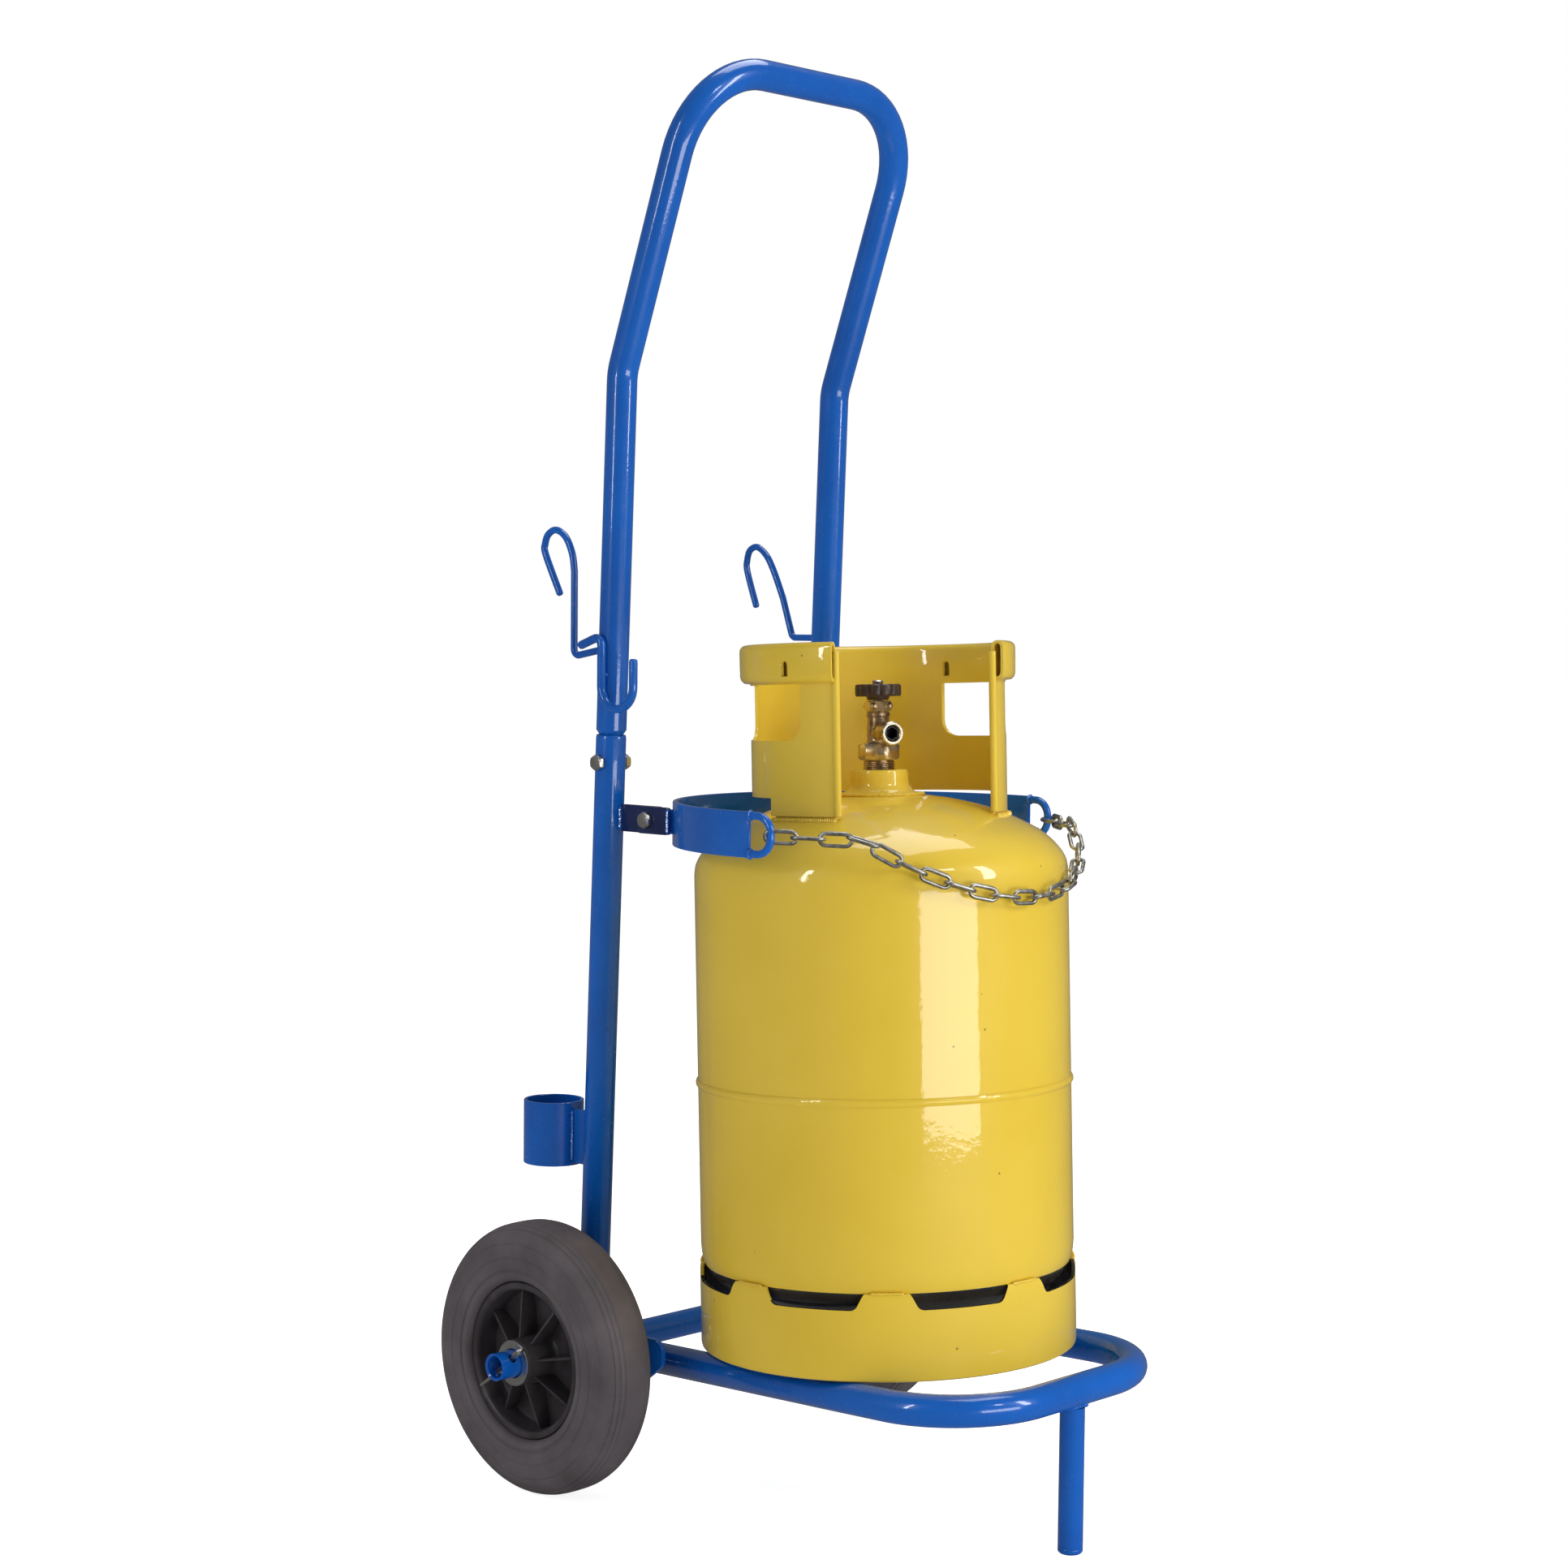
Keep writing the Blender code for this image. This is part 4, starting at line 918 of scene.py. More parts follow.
for word, side in SIDES:
    low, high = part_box(word + "_tyre")
    middle = Matrix.Translation(((low.x + high.x) / 2, AXLE_Y, AXLE_Z))
    place = middle @ Matrix.Rotation(side * math.pi / 2, 4, "Y")
    section = TYRE_HALF + [(r, -z) for r, z in reversed(TYRE_HALF[1:-1])]
    tyre = set_down(lathe(word + "_rubber_tyre", section, 144, smooth=32), place)
    dress(tyre, RUBBER, "tyre_rubber", word + "_wheel", word + "_tyre")
    section = rim_half(True) + [(r, -z) for r, z in reversed(rim_half(False)[:-1])]
    rim = lathe(word + "_moulded_rim", section, 96)
    ribs = joined("ribs", [rib(number, outside) for number in range(RIB_COUNT) for outside in (True, False)])
    rim = joined(word + "_moulded_rim", [rim, ribs])
    dress(set_down(rim, place), RIM_PLASTIC, "rim_plastic", word + "_wheel", word + "_rim")

# ---- Gas cylinder -------------------------------------------------------------------------------
# Two deep-drawn 3 mm steel halves, welded round the middle and painted with yellow enamel. The
# cylinder stands on the base loop, so it leans back with it; its sizes are in its own upright frame.
joints = {joint["name"]: joint for joint in frame["joints"]}
lean_axis = Vector(joints["cylinder_lift"]["axis"])
KNOB_HEIGHT = 0.5935
stand_foot = Vector(joints["handwheel_turn"]["pos_m"]) - lean_axis * KNOB_HEIGHT


def pointing(heading):
    """The turn that lays an upright shape along a heading."""
    return UP.rotation_difference(heading).to_matrix().to_4x4()


STAND = Matrix.Translation(stand_foot) @ pointing(lean_axis)
CYLINDER_R = 0.170
SHELL = 0.003
GIRTH_Z = 0.240
FACING = math.radians(-116)


def enamel():
    """Sprayed yellow enamel on drawn steel: semi-gloss, with soft orange peel, sun-warmed patches
    and a few dark specks of transport dirt. Real peel is 2 mm and is drawn at 6 mm."""
    finish, tree, place = new_finish("yellow_enamel")
    cloud = add(tree, "ShaderNodeTexNoise", {"Scale": 7.0, "Detail": 4.0}, {"Vector": place})
    tone = add(tree, "ShaderNodeValToRGB", {"stops": [(0.30, srgb("#E7C438")), (0.70, srgb("#EFCD45"))]},
               {"Fac": cloud.outputs["Fac"]})
    speck = add(tree, "ShaderNodeTexVoronoi", {"Scale": 26.0, "Randomness": 1.0}, {"Vector": place})
    dot = add(tree, "ShaderNodeMapRange",
              {"From Min": 0.020, "From Max": 0.034, "To Min": 0.75, "To Max": 0.0},
              {"Value": speck.outputs["Distance"]})
    dirty = add(tree, "ShaderNodeMix", {"data_type": "RGBA", 7: srgb("#5A4618")},
                {0: dot.outputs["Result"], 6: tone.outputs["Color"]})
    peel = add(tree, "ShaderNodeTexNoise", {"Scale": 160.0, "Detail": 2.5}, {"Vector": place})
    wave = add(tree, "ShaderNodeTexNoise", {"Scale": 18.0, "Detail": 2.0}, {"Vector": place})
    rough = add(tree, "ShaderNodeMapRange",
                {"From Min": 0.3, "From Max": 0.7, "To Min": 0.34, "To Max": 0.46},
                {"Value": cloud.outputs["Fac"]})
    swell = add(tree, "ShaderNodeBump", {"Strength": 0.20, "Distance": 0.0015},
                {"Height": wave.outputs["Fac"]})
    bump = add(tree, "ShaderNodeBump", {"Strength": 0.14, "Distance": 0.0006},
               {"Height": peel.outputs["Fac"], "Normal": swell.outputs["Normal"]})
    return shaded(finish, tree, dirty.outputs[2], rough, bump,
                  Specular_IOR_Level=0.25, Coat_Weight=0.85, Coat_Roughness=0.045)


YELLOW = enamel()


def walled(line, wall):
    """A sheet's closed section: the line and its parallel on the inside."""
    inner = []
    for index, (r, z) in enumerate(line):
        before, after = line[max(index - 1, 0)], line[min(index + 1, len(line) - 1)]
        run = Vector((after[0] - before[0], after[1] - before[1])).normalized()
        inner.append((r - run.y * wall, z + run.x * wall))
    return line + inner[::-1]


def on_cylinder(piece, finish, slot, body, *nodes):
    """Stands a shape made upright at the origin on the leaning cylinder's axis."""
    return dress(set_down(piece, STAND), finish, slot, body, *nodes)


def shade_under(piece, height):
    """Gives the faces that look at the underside, below a height on the cylinder, a dark brown painted shade.
    """
    piece.data.materials.append(UNDERSIDE_PAINTED_SHADE)
    upright = STAND.inverted()
    for face in piece.data.polygons:
        centre = upright @ face.center
        outward = (upright.to_3x3() @ face.normal).dot(Vector((centre.x, centre.y, 0)).normalized())
        if centre.z < height and (outward < 0.3 or Vector((centre.x, centre.y)).length < CYLINDER_R - 0.004):
            face.material_index = 1


# A dark brown coat for the cylinder's underside and the foot ring's inside: painted shade.
UNDERSIDE_PAINTED_SHADE = powder_coat("underside_painted_shade", "#2A2620", "#3A342B")
DOME = [(0.163, 0.448), (0.152, 0.4595), (0.137, 0.4696), (0.106, 0.484), (0.070, 0.4935), (0.037, 0.4985),
        (0.019, 0.500)]
upper = [(CYLINDER_R, GIRTH_Z + 0.0022), (CYLINDER_R, 0.3200), (CYLINDER_R, 0.4150)]
upper += smooth_line([(CYLINDER_R, 0.428), (0.1685, 0.438)] + DOME, 5)
shell = lathe("upper_shell_half", walled(upper, SHELL), 192, smooth=50)
on_cylinder(shell, YELLOW, "cylinder_enamel", "cylinder", "upper_shell")
BOTTOM = [(0.0, 0.030), (0.055, 0.033), (0.105, 0.040), (0.140, 0.051), (0.158, 0.063), (0.1654, 0.0735),
          (0.1688, 0.083), (CYLINDER_R, 0.094)]
lower = smooth_line(BOTTOM, 4) + [(CYLINDER_R, 0.1500), (CYLINDER_R, GIRTH_Z - 0.0022)]
inside = [(max(r - SHELL, 0.0), z + SHELL if r < 0.10 else z) for r, z in lower]
shell = lathe("lower_shell_half", lower + inside[::-1], 192, smooth=50)
on_cylinder(shell, YELLOW, "cylinder_enamel", "cylinder", "lower_shell")
# Painted shade on the underside of the bottom dish.
shade_under(shell, 0.0800)

# The girth weld: a low machine-laid bead, wider than it is high, dressed before painting.
BEAD_HALF = [(-0.0010, 0.0030), (0.0006, 0.0034), (0.0013, 0.0022), (0.0019, 0.0008)]
bead_line = [(CYLINDER_R + out, GIRTH_Z - up) for out, up in BEAD_HALF]
bead_line += [(CYLINDER_R + out, GIRTH_Z + up) for out, up in reversed(BEAD_HALF)]
girth = lathe("girth_bead", bead_line, 480, smooth=60)
for vert in girth.data.vertices:
    if abs(vert.co.z - GIRTH_Z) < 0.0025:
        radial = Vector((vert.co.x, vert.co.y, 0)).normalized()
        vert.co += radial * noise.noise(vert.co * 260) * 0.00035
on_cylinder(girth, YELLOW, "cylinder_enamel", "cylinder", "girth_weld")

# The foot ring: a rolled 3 mm skirt with a turned-in lower edge and eight drain slots at its top,
# tacked to the shell on the lands between them.
FOOT_R = 0.1712
FOOT_TOP = 0.075
# Steps in from the skirt's outside, with heights from its top edge and then from the floor.
SKIRT_TOP = [(0.0, -0.006), (0.0005, -0.002), (0.0016, 0.001), (0.0044, 0.001), (SHELL + 0.0004, -0.002),
             (SHELL, -0.006)]
SKIRT_HEM = [(SHELL, 0.0050), (0.0045, 0.0034), (0.0050, 0.0014), (0.0044, 0.0000), (0.0022, 0.0002),
             (0.0006, 0.0014)]
section = [(FOOT_R, 0.0040)] + [(FOOT_R - step, FOOT_TOP + up) for step, up in SKIRT_TOP]
section += [(FOOT_R - step, up) for step, up in SKIRT_HEM]
SLOT_COUNT = 8
SLOT_WIDTH = 0.078
SLOT_DEPTH = 0.013


def slot_corner(_, corner):
    """Where a corner of a unit cube goes to make the tool of one slot, wider at its top."""
    wide = SLOT_WIDTH + (2 * SLOT_DEPTH if corner.z > 0 else 0)
    return (FOOT_R + corner.x * 0.030, corner.y * wide, FOOT_TOP + corner.z * 2 * SLOT_DEPTH)


skirt = lathe("foot_ring_skirt", section, 192)
slots = []
for number in range(SLOT_COUNT):
    begin()
    bpy.ops.mesh.primitive_cube_add(size=1.0)
    reshape(slot_corner)
    round_edges(0.004, 3, lambda edge: abs(edge.verts[0].co.x - edge.verts[1].co.x) > 0.01
                and edge.verts[0].co.z < FOOT_TOP)
    turn = Matrix.Rotation(FACING + math.tau * number / SLOT_COUNT, 4, "Z")
    slots.append(set_down(close_piece("slot"), turn))
cut(skirt, joined("slots", slots))
reshade(skirt)
on_cylinder(skirt, YELLOW, "cylinder_enamel", "cylinder", "foot_ring")
# Painted shade on the skirt's inside and its turned-in hem.
shade_under(skirt, FOOT_TOP - 0.004)

# The collar: a wide C of 3 mm sheet with a hollow rolled hem on top, rolled upright edges at the
# opening, two hand holes with a relief slit above each, and two feet welded to the dome.
COLLAR_R = 0.116
COLLAR_TOP = 0.636
HALF_OPENING = math.radians(41)
HEM_R = 0.0046
COLLAR_SHEET = 0.0026
sheet_mid = COLLAR_R - COLLAR_SHEET / 2
hem_centre = (sheet_mid + HEM_R, COLLAR_TOP - COLLAR_SHEET / 2 - HEM_R)
hem_face = sheet_mid + 2 * HEM_R
line = [(sheet_mid, 0.4832), (sheet_mid, 0.5250), (sheet_mid, 0.5800), (sheet_mid, 0.6100)]
for n in range(9):
    turn = math.pi - math.pi * n / 8
    line.append((hem_centre[0] + HEM_R * math.cos(turn), hem_centre[1] + HEM_R * math.sin(turn)))
HEM_TUCK = [(0.0, 0.6180), (0.0002, 0.6072), (0.0012, 0.6045), (0.0032, 0.6027), (0.0056, 0.6024),
            (0.0074, 0.6030)]
line += [(hem_face - step, z) for step, z in HEM_TUCK]
begin()
bpy.ops.mesh.primitive_circle_add(vertices=len(line), radius=1.0)
reshape(lambda number, _: polar(line[number][0], FACING + HALF_OPENING, line[number][1]))
shape = bmesh.from_edit_mesh(bpy.context.object.data)
shape.verts.ensure_lookup_table()
first, last = shape.verts[0], shape.verts[-1]
shape.edges.remove(next(edge for edge in first.link_edges if edge.other_vert(first) is last))
bmesh.update_edit_mesh(bpy.context.object.data)
bpy.ops.mesh.select_all(action="SELECT")
bpy.ops.mesh.spin(steps=132, angle=-(math.tau - 2 * HALF_OPENING), center=(0, 0, 0), axis=(0, 0, 1))
collar = close_piece("valve_guard_collar")
thicken(collar, COLLAR_SHEET, 0.0)


def block(name, low, high, round_by=0.0, chosen=None):
    """A tool block with its radial edges rounded where chosen says so."""
    begin()
    bpy.ops.mesh.primitive_cube_add(size=1.0)
    reshape(lambda _, corner: [(0.5 - c) * lo + (0.5 + c) * hi for c, lo, hi in zip(corner, low, high)])
    if round_by:
        round_edges(round_by, 6, lambda edge: abs(edge.verts[0].co.x - edge.verts[1].co.x) > 1e-4
                    and chosen(edge.verts[0].co))
    return close_piece(name)


HOLE_FOOT, HOLE_TOP, HOLE_HALF = 0.550, 0.5995, 0.0635
for sign in (-1, 1):
    turn = Matrix.Rotation(FACING + sign * math.radians(91.7), 4, "Z")
    hole = block("hand_hole", (0.060, -HOLE_HALF, HOLE_FOOT), (0.130, HOLE_HALF, HOLE_TOP), 0.014,
                 lambda place: place.z < 0.56)
    cut(collar, set_down(hole, turn))
    for edge_side in (-1, 1):
        centre = edge_side * (HOLE_HALF - 0.004)
        slit = block("slit", (0.095, centre - 0.0035, 0.6065), (0.130, centre + 0.0035, 0.6200), 0.0032,
                     lambda place: place.z > 0.61)
        cut(collar, set_down(slit, turn))
relief = block("relief", (-0.150, -0.150, 0.470), (0.023, 0.150, 0.499))
cut(collar, set_down(relief, Matrix.Rotation(FACING, 4, "Z")))
reshade(collar)
edges = []
for sign in (-1, 1):
    turn = FACING + sign * (HALF_OPENING - 0.004)
    edges.append(wire("rolled_edge", [polar(sheet_mid, turn, z) for z in (0.4836, 0.56, 0.6265)], 0.0034, 20))
collar = joined("valve_guard_collar", [collar] + edges)
on_cylinder(collar, YELLOW, "cylinder_enamel", "cylinder", "collar")

# The neck boss: a turned steel ring welded into the dome and painted with it.
section = [(0.0405, 0.4982), (0.0340, 0.5004), (0.0295, 0.5034), (0.0275, 0.5075), (0.0266, 0.5120),
           (0.0265, 0.5192), (0.0257, 0.5210), (0.0243, 0.5217), (0.0152, 0.5217), (0.0152, 0.5010),
           (0.0200, 0.4985)]
on_cylinder(lathe("neck_ring", section, 96), YELLOW, "cylinder_enamel", "cylinder", "neck_boss")

# Cylinder welds: the collar's two feet, the neck ring, and the tacks on the foot ring's lands.
welds = [bead(round_line(Vector((0, 0, 0.4990)), 0.0400, UP, 90), 0.0017, True)]


def dome_height(radius):
    """Height of the dome's outside at a radius."""
    line = [(CYLINDER_R, 0.428), (0.1685, 0.438)] + DOME
    for (r1, z1), (r2, z2) in zip(line, line[1:]):
        if r2 <= radius <= r1:
            return z1 + (z2 - z1) * (r1 - radius) / (r1 - r2)
    return line[-1][1]


for sign in (-1, 1):
    for r in (COLLAR_R + 0.0012, COLLAR_R - 0.0040):
        turns = [FACING + sign * (HALF_OPENING + math.radians(36) * n / 8) for n in range(9)]
        welds.append(bead([polar(r, turn, dome_height(r) + 0.0006) for turn in turns], 0.0027))
for number in range(SLOT_COUNT):
    middle = FACING + math.tau * (number + 0.5) / SLOT_COUNT
    turns = [middle + math.radians(5.0) * (n - 3) / 3 for n in range(7)]
    welds.append(bead([polar(FOOT_R - 0.0018, turn, FOOT_TOP + 0.0012) for turn in turns], 0.0015))
on_cylinder(joined("cylinder_weld_beads", welds), YELLOW, "cylinder_enamel", "cylinder")

# ---- Valve --------------------------------------------------------------------------------------
# A forged brass cylinder valve, dulled brown by handling, with machined faces left bright: a
# threaded stem in the neck, a hexagon, a body with a side outlet, and a clamp round the spindle.


def aged_brass(name, deep, light, low_rough, high_rough):
    """Forged brass with a brown tarnish in random patches, between a deep and a light colour. The
    forging's skin has 1 mm pits."""
    finish, tree, place = new_finish(name)
    tarnish = add(tree, "ShaderNodeTexNoise", {"Scale": 120.0, "Detail": 6.0, "Roughness": 0.65},
                  {"Vector": place})
    tone = add(tree, "ShaderNodeValToRGB", {"stops": [(0.35, srgb(deep)), (0.65, srgb(light))]},
               {"Fac": tarnish.outputs["Fac"]})
    pits = add(tree, "ShaderNodeTexNoise", {"Scale": 1000.0, "Detail": 2.0}, {"Vector": place})
    rough = add(tree, "ShaderNodeMapRange", {"To Min": low_rough, "To Max": high_rough},
                {"Value": tarnish.outputs["Fac"]})
    bump = add(tree, "ShaderNodeBump", {"Strength": 0.25, "Distance": 0.0003},
               {"Height": pits.outputs["Fac"]})
    return shaded(finish, tree, tone.outputs["Color"], rough, bump, Metallic=1.0)


BRASS = aged_brass("tarnished_brass", "#7F6852", "#C9B291", 0.22, 0.42)
PALE_BRASS = aged_brass("worn_brass", "#C2AD88", "#EBDCBC", 0.25, 0.45)
BRIGHT_BRASS = aged_brass("machined_brass", "#DCCFB4", "#F0E6D0", 0.18, 0.30)
OUTLET_Z = 0.5545
outlet_place = Matrix.Translation((0, 0, OUTLET_Z)) @ pointing(polar(1.0, FACING))
stem = threaded("stem", 0.0142, 0.4950, 0.5300, 0.0018)
section = [(0.0, 0.5452), (0.0125, 0.5452), (0.0108, 0.5470), (0.0105, 0.5485), (0.0105, 0.5610),
           (0.0098, 0.5625), (0.0098, 0.5690), (0.0108, 0.5700), (0.0108, 0.5728), (0.0098, 0.5740),
           (0.0, 0.5740)]
body = lathe("body", section, 48)
spanner_flats = hexagon("flats", 0.0190, 0.0152, True)
set_down(spanner_flats, Matrix.Translation((0, 0, 0.5300)) @ Matrix.Rotation(FACING, 4, "Z"))
section = [(0.0, 0.0), (0.0092, 0.0), (0.0092, 0.0150), (0.0107, 0.0165), (0.0107, 0.0328),
           (0.0097, 0.0340), (0.0080, 0.0340), (0.0066, 0.0326), (0.0066, 0.0160), (0.0, 0.0160)]
outlet = set_down(lathe("outlet", section, 48), outlet_place)
valve = joined("forged_valve_body", [stem, body, outlet])
on_cylinder(valve, BRASS, "valve_brass", "cylinder", "valve_body")
spanner_flats.name = spanner_flats.data.name = "valve_spanner_flats"
on_cylinder(spanner_flats, PALE_BRASS, "valve_brass", "cylinder")

# The outlet's machined sealing face, and a near-black cup in its bore that is painted shade.
section = [(0.0106, 0.0329), (0.0096, 0.0346), (0.0078, 0.0346), (0.0067, 0.0329)]
face_ring = set_down(lathe("outlet_face_ring", section, 64), outlet_place)
on_cylinder(face_ring, BRIGHT_BRASS, "valve_brass", "cylinder")
section = [(0.0066, 0.0165), (0.0066, 0.0322), (0.0058, 0.0322), (0.0054, 0.0175), (0.0, 0.0175),
           (0.0, 0.0165)]
bore_shade_cup = set_down(lathe("outlet_bore_shade_cup", section, 6), outlet_place)
# Near-black plastic for the cup in the outlet's bore: painted shade.
OUTLET_BORE_SHADE = moulded_plastic("outlet_bore_painted_shade", "#14161C", "#1E2027", 0.35, 0.50)
on_cylinder(bore_shade_cup, OUTLET_BORE_SHADE, "valve_brass", "cylinder")

# The packing clamp: a hexagonal gland nut with a split collar held by small round-headed screws.
gland = hexagon("gland", 0.0125, 0.0097, True)
bore = lathe("bore", [(0.0, -0.001), (0.0046, -0.001), (0.0046, 0.011), (0.0, 0.011)], 24)
cut(gland, bore)
set_down(gland, Matrix.Translation((0, 0, 0.5743)) @ Matrix.Rotation(FACING, 4, "Z"))
screws = []
for number in range(4):
    turn = FACING + math.radians(45 + 90 * number)
    head = lathe("head", [(0.0, 0.0), (0.0034, 0.0), (0.0034, 0.0012), (0.0030, 0.0025), (0.0020, 0.0034),
                          (0.0008, 0.0037), (0.0, 0.0037)], 24)
    outward = polar(1.0, turn)
    screws.append(set_down(head, Matrix.Translation(outward * 0.0105 + rise(0.5790)) @ pointing(outward)))
gland = joined("gland_nut", [gland] + screws)
reshade(gland, 32)
on_cylinder(gland, PALE_BRASS, "valve_brass", "cylinder", "packing_nut")

# The spindle: turned steel, square under the handwheel and riveted over on top.
section = [(0.0, 0.5656), (0.0042, 0.5656), (0.0042, 0.5990), (0.0048, 0.6005), (0.0050, 0.6016),
           (0.0040, 0.6025), (0.0, 0.6027)]
on_cylinder(lathe("valve_spindle_rod", section, 32), ZINC, "zinc_fasteners", "handwheel", "valve_spindle")

# The handwheel: dark brown moulded plastic with rounded finger lobes and a dished top.
LOBES = 11
LOBE_STEPS = 16
LOBE_DEPTH = 0.085
KNOB_R = 0.0212
KNOB_FOOT_Z = 0.5880
# Each step's rise and its size against the one below: side, rounded shoulder, dish and middle.
KNOB_STEPS = [(0.0008, 1.03), (0.0016, 1.02), (0.0060, 1.0), (0.0016, 0.985), (0.0010, 0.95), (0.0, 0.93),
              (-0.0012, 0.96), (0.0, 0.60), (0.0005, 0.70)]


def lobe_point(_, point):
    """Draws a point of the round outline in where it is between two lobes."""
    lobe = abs(math.sin(math.atan2(point.y, point.x) * LOBES / 2)) ** 0.55
    scale = 1 - LOBE_DEPTH * (1 - lobe)
    return (point.x * scale, point.y * scale, KNOB_FOOT_Z)


begin()
bpy.ops.mesh.primitive_circle_add(vertices=LOBES * LOBE_STEPS, radius=KNOB_R, fill_type="NGON")
reshape(lobe_point)
height = KNOB_FOOT_Z
bpy.ops.transform.resize(value=(0.955, 0.955, 1.0))
for lift, share in KNOB_STEPS:
    bpy.ops.mesh.extrude_region_move(TRANSFORM_OT_translate={"value": (0, 0, lift)})
    height += lift
    bpy.ops.transform.resize(value=(share, share, 1.0), center_override=(0, 0, height))
knob = close_piece("knob", 30)
section = [(0.0046, 0.5846), (0.0092, 0.5846), (0.0100, 0.5856), (0.0110, 0.5884), (0.0046, 0.5884)]
knob = joined("lobed_handwheel", [knob, lathe("hub", section, 40)])
BROWN_PLASTIC = moulded_plastic("brown_phenolic", "#35271F", "#4A382D", 0.30, 0.46)
on_cylinder(knob, BROWN_PLASTIC, "handwheel_plastic", "handwheel", "handwheel")

# ---- Chain --------------------------------------------------------------------------------------
# Welded long-link chain of 3.6 mm zinc-plated wire, links 31 x 14 mm. It hangs from staple to staple
# round the front of the cylinder, and four spare links hang from the right staple.
WIRE_R = 0.0018
LINK_PITCH = 0.0240
LINK_HALF_WIDTH = 0.0052
CHAIN_SAG = 0.053
CHAIN_BAR_R = 0.0058
ROUTE_STEP = 0.0005
CHAIN_TOP_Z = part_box("securing_chain")[1].z - CHAIN_BAR_R


def galvanised():
    """Barrel-plated zinc on drawn wire: greyer than the screws, darker in random patches."""
    finish, tree, place = new_finish("plated_chain_zinc")
    cloud = add(tree, "ShaderNodeTexNoise", {"Scale": 180.0, "Detail": 5.0}, {"Vector": place})
    tone = add(tree, "ShaderNodeValToRGB", {"stops": [(0.32, srgb("#96948C")), (0.68, srgb("#CFCDC6"))]},
               {"Fac": cloud.outputs["Fac"]})
    rough = add(tree, "ShaderNodeMapRange", {"To Min": 0.28, "To Max": 0.52}, {"Value": cloud.outputs["Fac"]})
    bump = add(tree, "ShaderNodeBump", {"Strength": 0.2, "Distance": 0.0002},
               {"Height": cloud.outputs["Fac"]})
    return shaded(finish, tree, tone.outputs["Color"], rough, bump, Metallic=1.0)


CHAIN_ZINC = galvanised()
link_line = []
LINK_STRAIGHT = LINK_PITCH / 2 + WIRE_R - LINK_HALF_WIDTH
for end, first in ((1, -90), (-1, 90)):
    for n in range(9):
        turn = math.radians(first + 22.5 * n)
        link_line.append(Vector((end * LINK_STRAIGHT + LINK_HALF_WIDTH * math.cos(turn),
                                 LINK_HALF_WIDTH * math.sin(turn), 0)))
link_shares = [1.0] * len(link_line)
link_shares[-1] = link_shares[0] = 1.12
master_link = wire("master_link", link_line, WIRE_R, 10, link_shares, closed=True)


def link_at(centre, heading, flat):
    """A copy of the link, lying along heading with its face towards flat."""
    copy = master_link.copy()
    copy.data = master_link.data.copy()
    bpy.context.scene.collection.objects.link(copy)
    along = heading.normalized()
    face = (flat - along * flat.dot(along)).normalized()
    turn = Matrix((along, face.cross(along), face)).transposed().to_4x4()
    return set_down(copy, Matrix.Translation(centre) @ turn)


# The route: from the right staple it wraps round the cylinder's front, sagging, to the left staple.
wrap_r = CYLINDER_R + CHAIN_BAR_R + 0.004
wrap_y = stand_foot.y + (CHAIN_TOP_Z - stand_foot.z) * lean_axis.y / lean_axis.z
tips = {}
for word, side in SIDES:
    route = staple_route(side)
    tips[word] = (route[1] + route[2]) / 2
offset = Vector((tips["right"].x, tips["right"].y - wrap_y - 0.004))
touch = math.atan2(offset.x, -offset.y) - math.acos(min(wrap_r / offset.length, 1.0))
route = [Vector((tips["right"].x, tips["right"].y, CHAIN_TOP_Z))]
for n in range(41):
    share = n / 40
    turn = touch - 2 * touch * share
    drop = CHAIN_SAG * (0.04 + 0.96 * 4 * share * (1 - share))
    route.append(Vector((wrap_r * math.sin(turn), wrap_y - wrap_r * math.cos(turn), CHAIN_TOP_Z - drop)))
route.append(Vector((tips["left"].x, tips["left"].y, CHAIN_TOP_Z)))
fine = spaced(route, ROUTE_STEP)
total = ROUTE_STEP * (len(fine) - 1)
first_gap = LINK_PITCH / 2 - STAPLE_R
count = round((total - 2 * first_gap) / LINK_PITCH) + 1
pitch = (total - 2 * first_gap) / (count - 1)
links = []
for number in range(count):
    place = (first_gap + pitch * number) / ROUTE_STEP
    index = max(1, min(len(fine) - 2, round(place)))
    heading = fine[min(index + 16, len(fine) - 1)] - fine[max(index - 16, 0)]
    centre = fine[index]
    away = Vector((centre.x, centre.y - wrap_y, 0)).normalized()
    face = UP if number % 2 == 0 else away
    twist = Matrix.Rotation(math.radians(14) * noise.noise(centre * 30), 3, heading.normalized())
    links.append(link_at(centre, heading, twist @ face))
chain = joined("securing_chain_links", links)
dress(chain, CHAIN_ZINC, "zinc_chain", "frame", "securing_chain")

pivot = Vector(joints["chain_tail_swing"]["pos_m"])
arm = Vector(joints["chain_tail_swing"]["axis"])
sideways = arm.cross(UP).normalized()
links = []
for number in range(4):
    centre = pivot + rise(STAPLE_R - LINK_PITCH / 2 - LINK_PITCH * number)
    links.append(link_at(centre, -UP, arm if number % 2 == 0 else sideways))
tail = joined("spare_chain_links", links)
dress(tail, CHAIN_ZINC, "zinc_chain", "chain_tail", "chain_tail")
bpy.data.objects.remove(master_link, do_unlink=True)

# ---- Stage --------------------------------------------------------------------------------------
# A seamless pale floor in a white room. A card low on the right draws the highlight down the
# cylinder, a high spot and two upright strips draw the smaller ones on the dome and the tubes, and
# soft lights fill from both sides and from overhead.
ROOM_LIGHT = 0.27
ROOM_IN_GLOSS = 0.14
white = bpy.data.worlds.new("white_room")
bpy.context.scene.world = white
tree = fresh_tree(white)


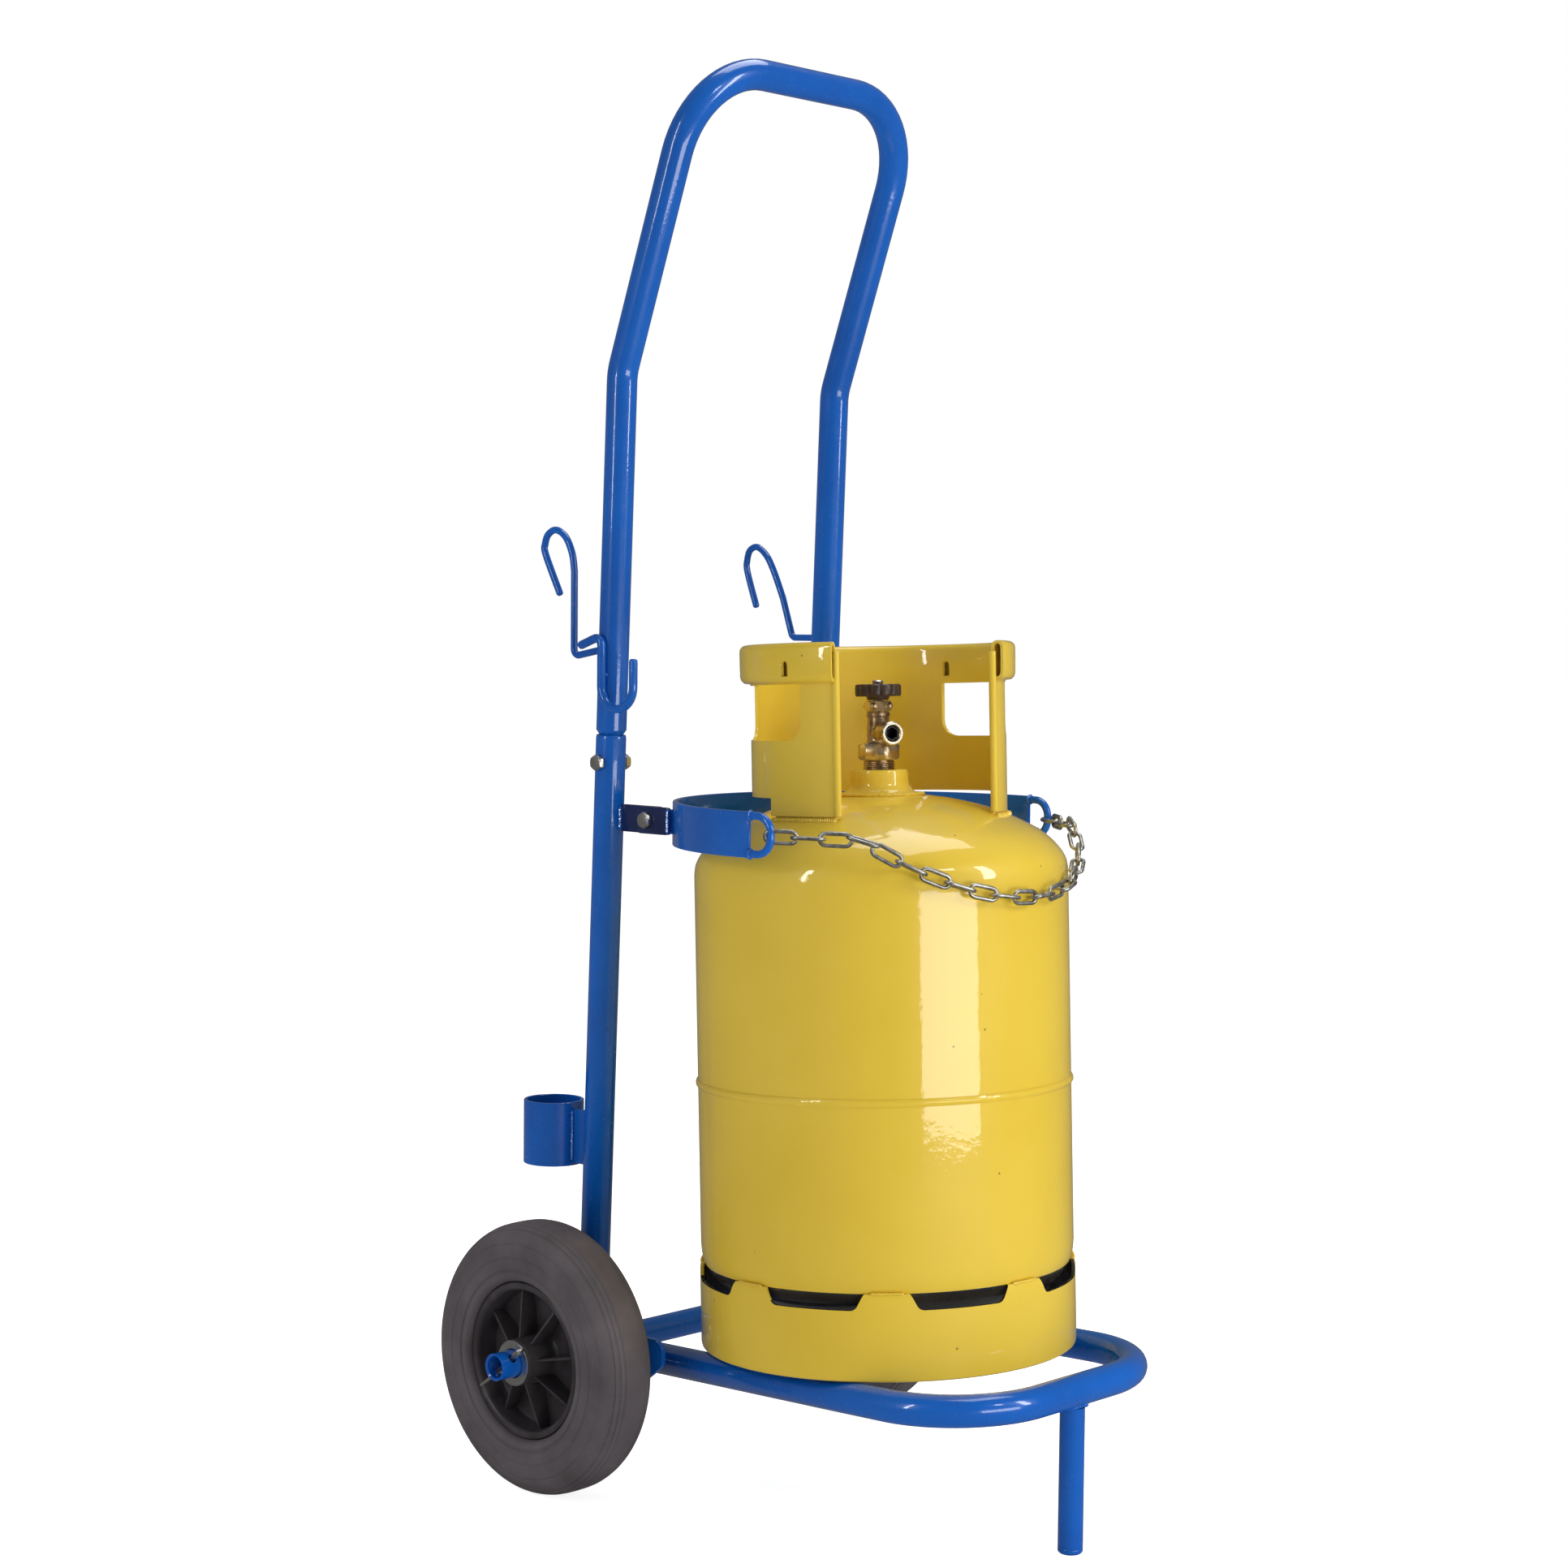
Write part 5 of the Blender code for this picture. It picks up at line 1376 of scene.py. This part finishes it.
def by_ray(tree, shown, glossy, others):
    """A strength with one value to the camera, one in reflections and one for all other rays."""
    rays = add(tree, "ShaderNodeLightPath").outputs
    unseen = add(tree, "ShaderNodeMapRange", {"To Min": others, "To Max": glossy},
                 {"Value": rays["Is Glossy Ray"]})
    return add(tree, "ShaderNodeMapRange", {"To Max": shown},
               {"Value": rays["Is Camera Ray"], "To Min": unseen.outputs["Result"]}).outputs["Result"]


air = add(tree, "ShaderNodeBackground", {"Color": (1, 1, 1, 1)},
          {"Strength": by_ray(tree, 1.0, ROOM_IN_GLOSS, ROOM_LIGHT)})
add(tree, "ShaderNodeOutputWorld", links={"Surface": air.outputs[0]})

begin()
bpy.ops.mesh.primitive_plane_add(size=40.0, location=(0, 0, -0.0002))
floor = bpy.context.object
floor.name = "pale_floor"
floor_finish = bpy.data.materials.new("pale_floor")
tree = fresh_tree(floor_finish)
matt = add(tree, "ShaderNodeBsdfDiffuse", {"Color": (0.88, 0.88, 0.88, 1)})
glow = add(tree, "ShaderNodeEmission", {"Color": (1, 1, 1, 1)}, {"Strength": by_ray(tree, 0.84, 0.06, 0.06)})
both = add(tree, "ShaderNodeAddShader", links={0: matt.outputs[0], 1: glow.outputs[0]})
dim = add(tree, "ShaderNodeEmission", {"Color": (1, 1, 1, 1), "Strength": ROOM_IN_GLOSS})
chosen = add(tree, "ShaderNodeMixShader", links={0: add(tree, "ShaderNodeLightPath").outputs["Is Glossy Ray"],
                                                 1: both.outputs[0], 2: dim.outputs[0]})
add(tree, "ShaderNodeOutputMaterial", links={"Surface": chosen.outputs[0]})
floor.data.materials.append(floor_finish)
floor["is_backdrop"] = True


def soft_light(name, place, aim, width, height, power, lights="all"):
    """A rectangular studio light aimed at a point; it acts on all, on matt surfaces or in gloss only."""
    data = bpy.data.lights.new(name, "AREA")
    data.shape = "RECTANGLE"
    data.size, data.size_y, data.energy = width, height, power
    light = bpy.data.objects.new(name, data)
    bpy.context.scene.collection.objects.link(light)
    light.location = place
    light.rotation_euler = (Vector(aim) - Vector(place)).to_track_quat("-Z", "Y").to_euler()
    light.visible_diffuse = lights != "reflections"
    light.visible_glossy = lights != "surfaces"
    return light


def bearing(degrees, distance, height):
    """A place round the cylinder; 0 is towards the camera and positive is to its right."""
    towards = math.atan2(EYE.y - stand_foot.y, EYE.x - stand_foot.x) + math.radians(degrees)
    return (stand_foot.x + distance * math.cos(towards), stand_foot.y + distance * math.sin(towards), height)


soft_light("key_card", bearing(40, 2.1, 0.36), (0, 0, 0.42), 1.35, 0.46, 13)
soft_light("key_high", bearing(62, 2.8, 2.0), (0, 0, 0.6), 1.2, 1.2, 34, "surfaces")
soft_light("spot_high", bearing(44, 2.6, 2.3), (0, 0, 0.6), 0.42, 0.34, 6, "reflections")
soft_light("strip_right", bearing(68, 3.0, 1.75), (0, 0, 1.1), 0.42, 1.7, 32, "reflections")
soft_light("strip_left", bearing(-47, 3.0, 1.75), (0, 0, 1.1), 0.20, 1.7, 20, "reflections")
soft_light("fill_left", bearing(-100, 2.6, 0.8), (0, 0, 0.5), 0.12, 1.2, 7, "surfaces")
soft_light("fill_wide", bearing(-70, 2.8, 1.2), (0, 0, 0.6), 1.4, 1.6, 12, "surfaces")
soft_light("overhead", bearing(150, 0.6, 3.2), (0, 0, 0.6), 1.6, 1.6, 30)
bpy.context.scene.view_settings.view_transform = "Standard"

low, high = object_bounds()
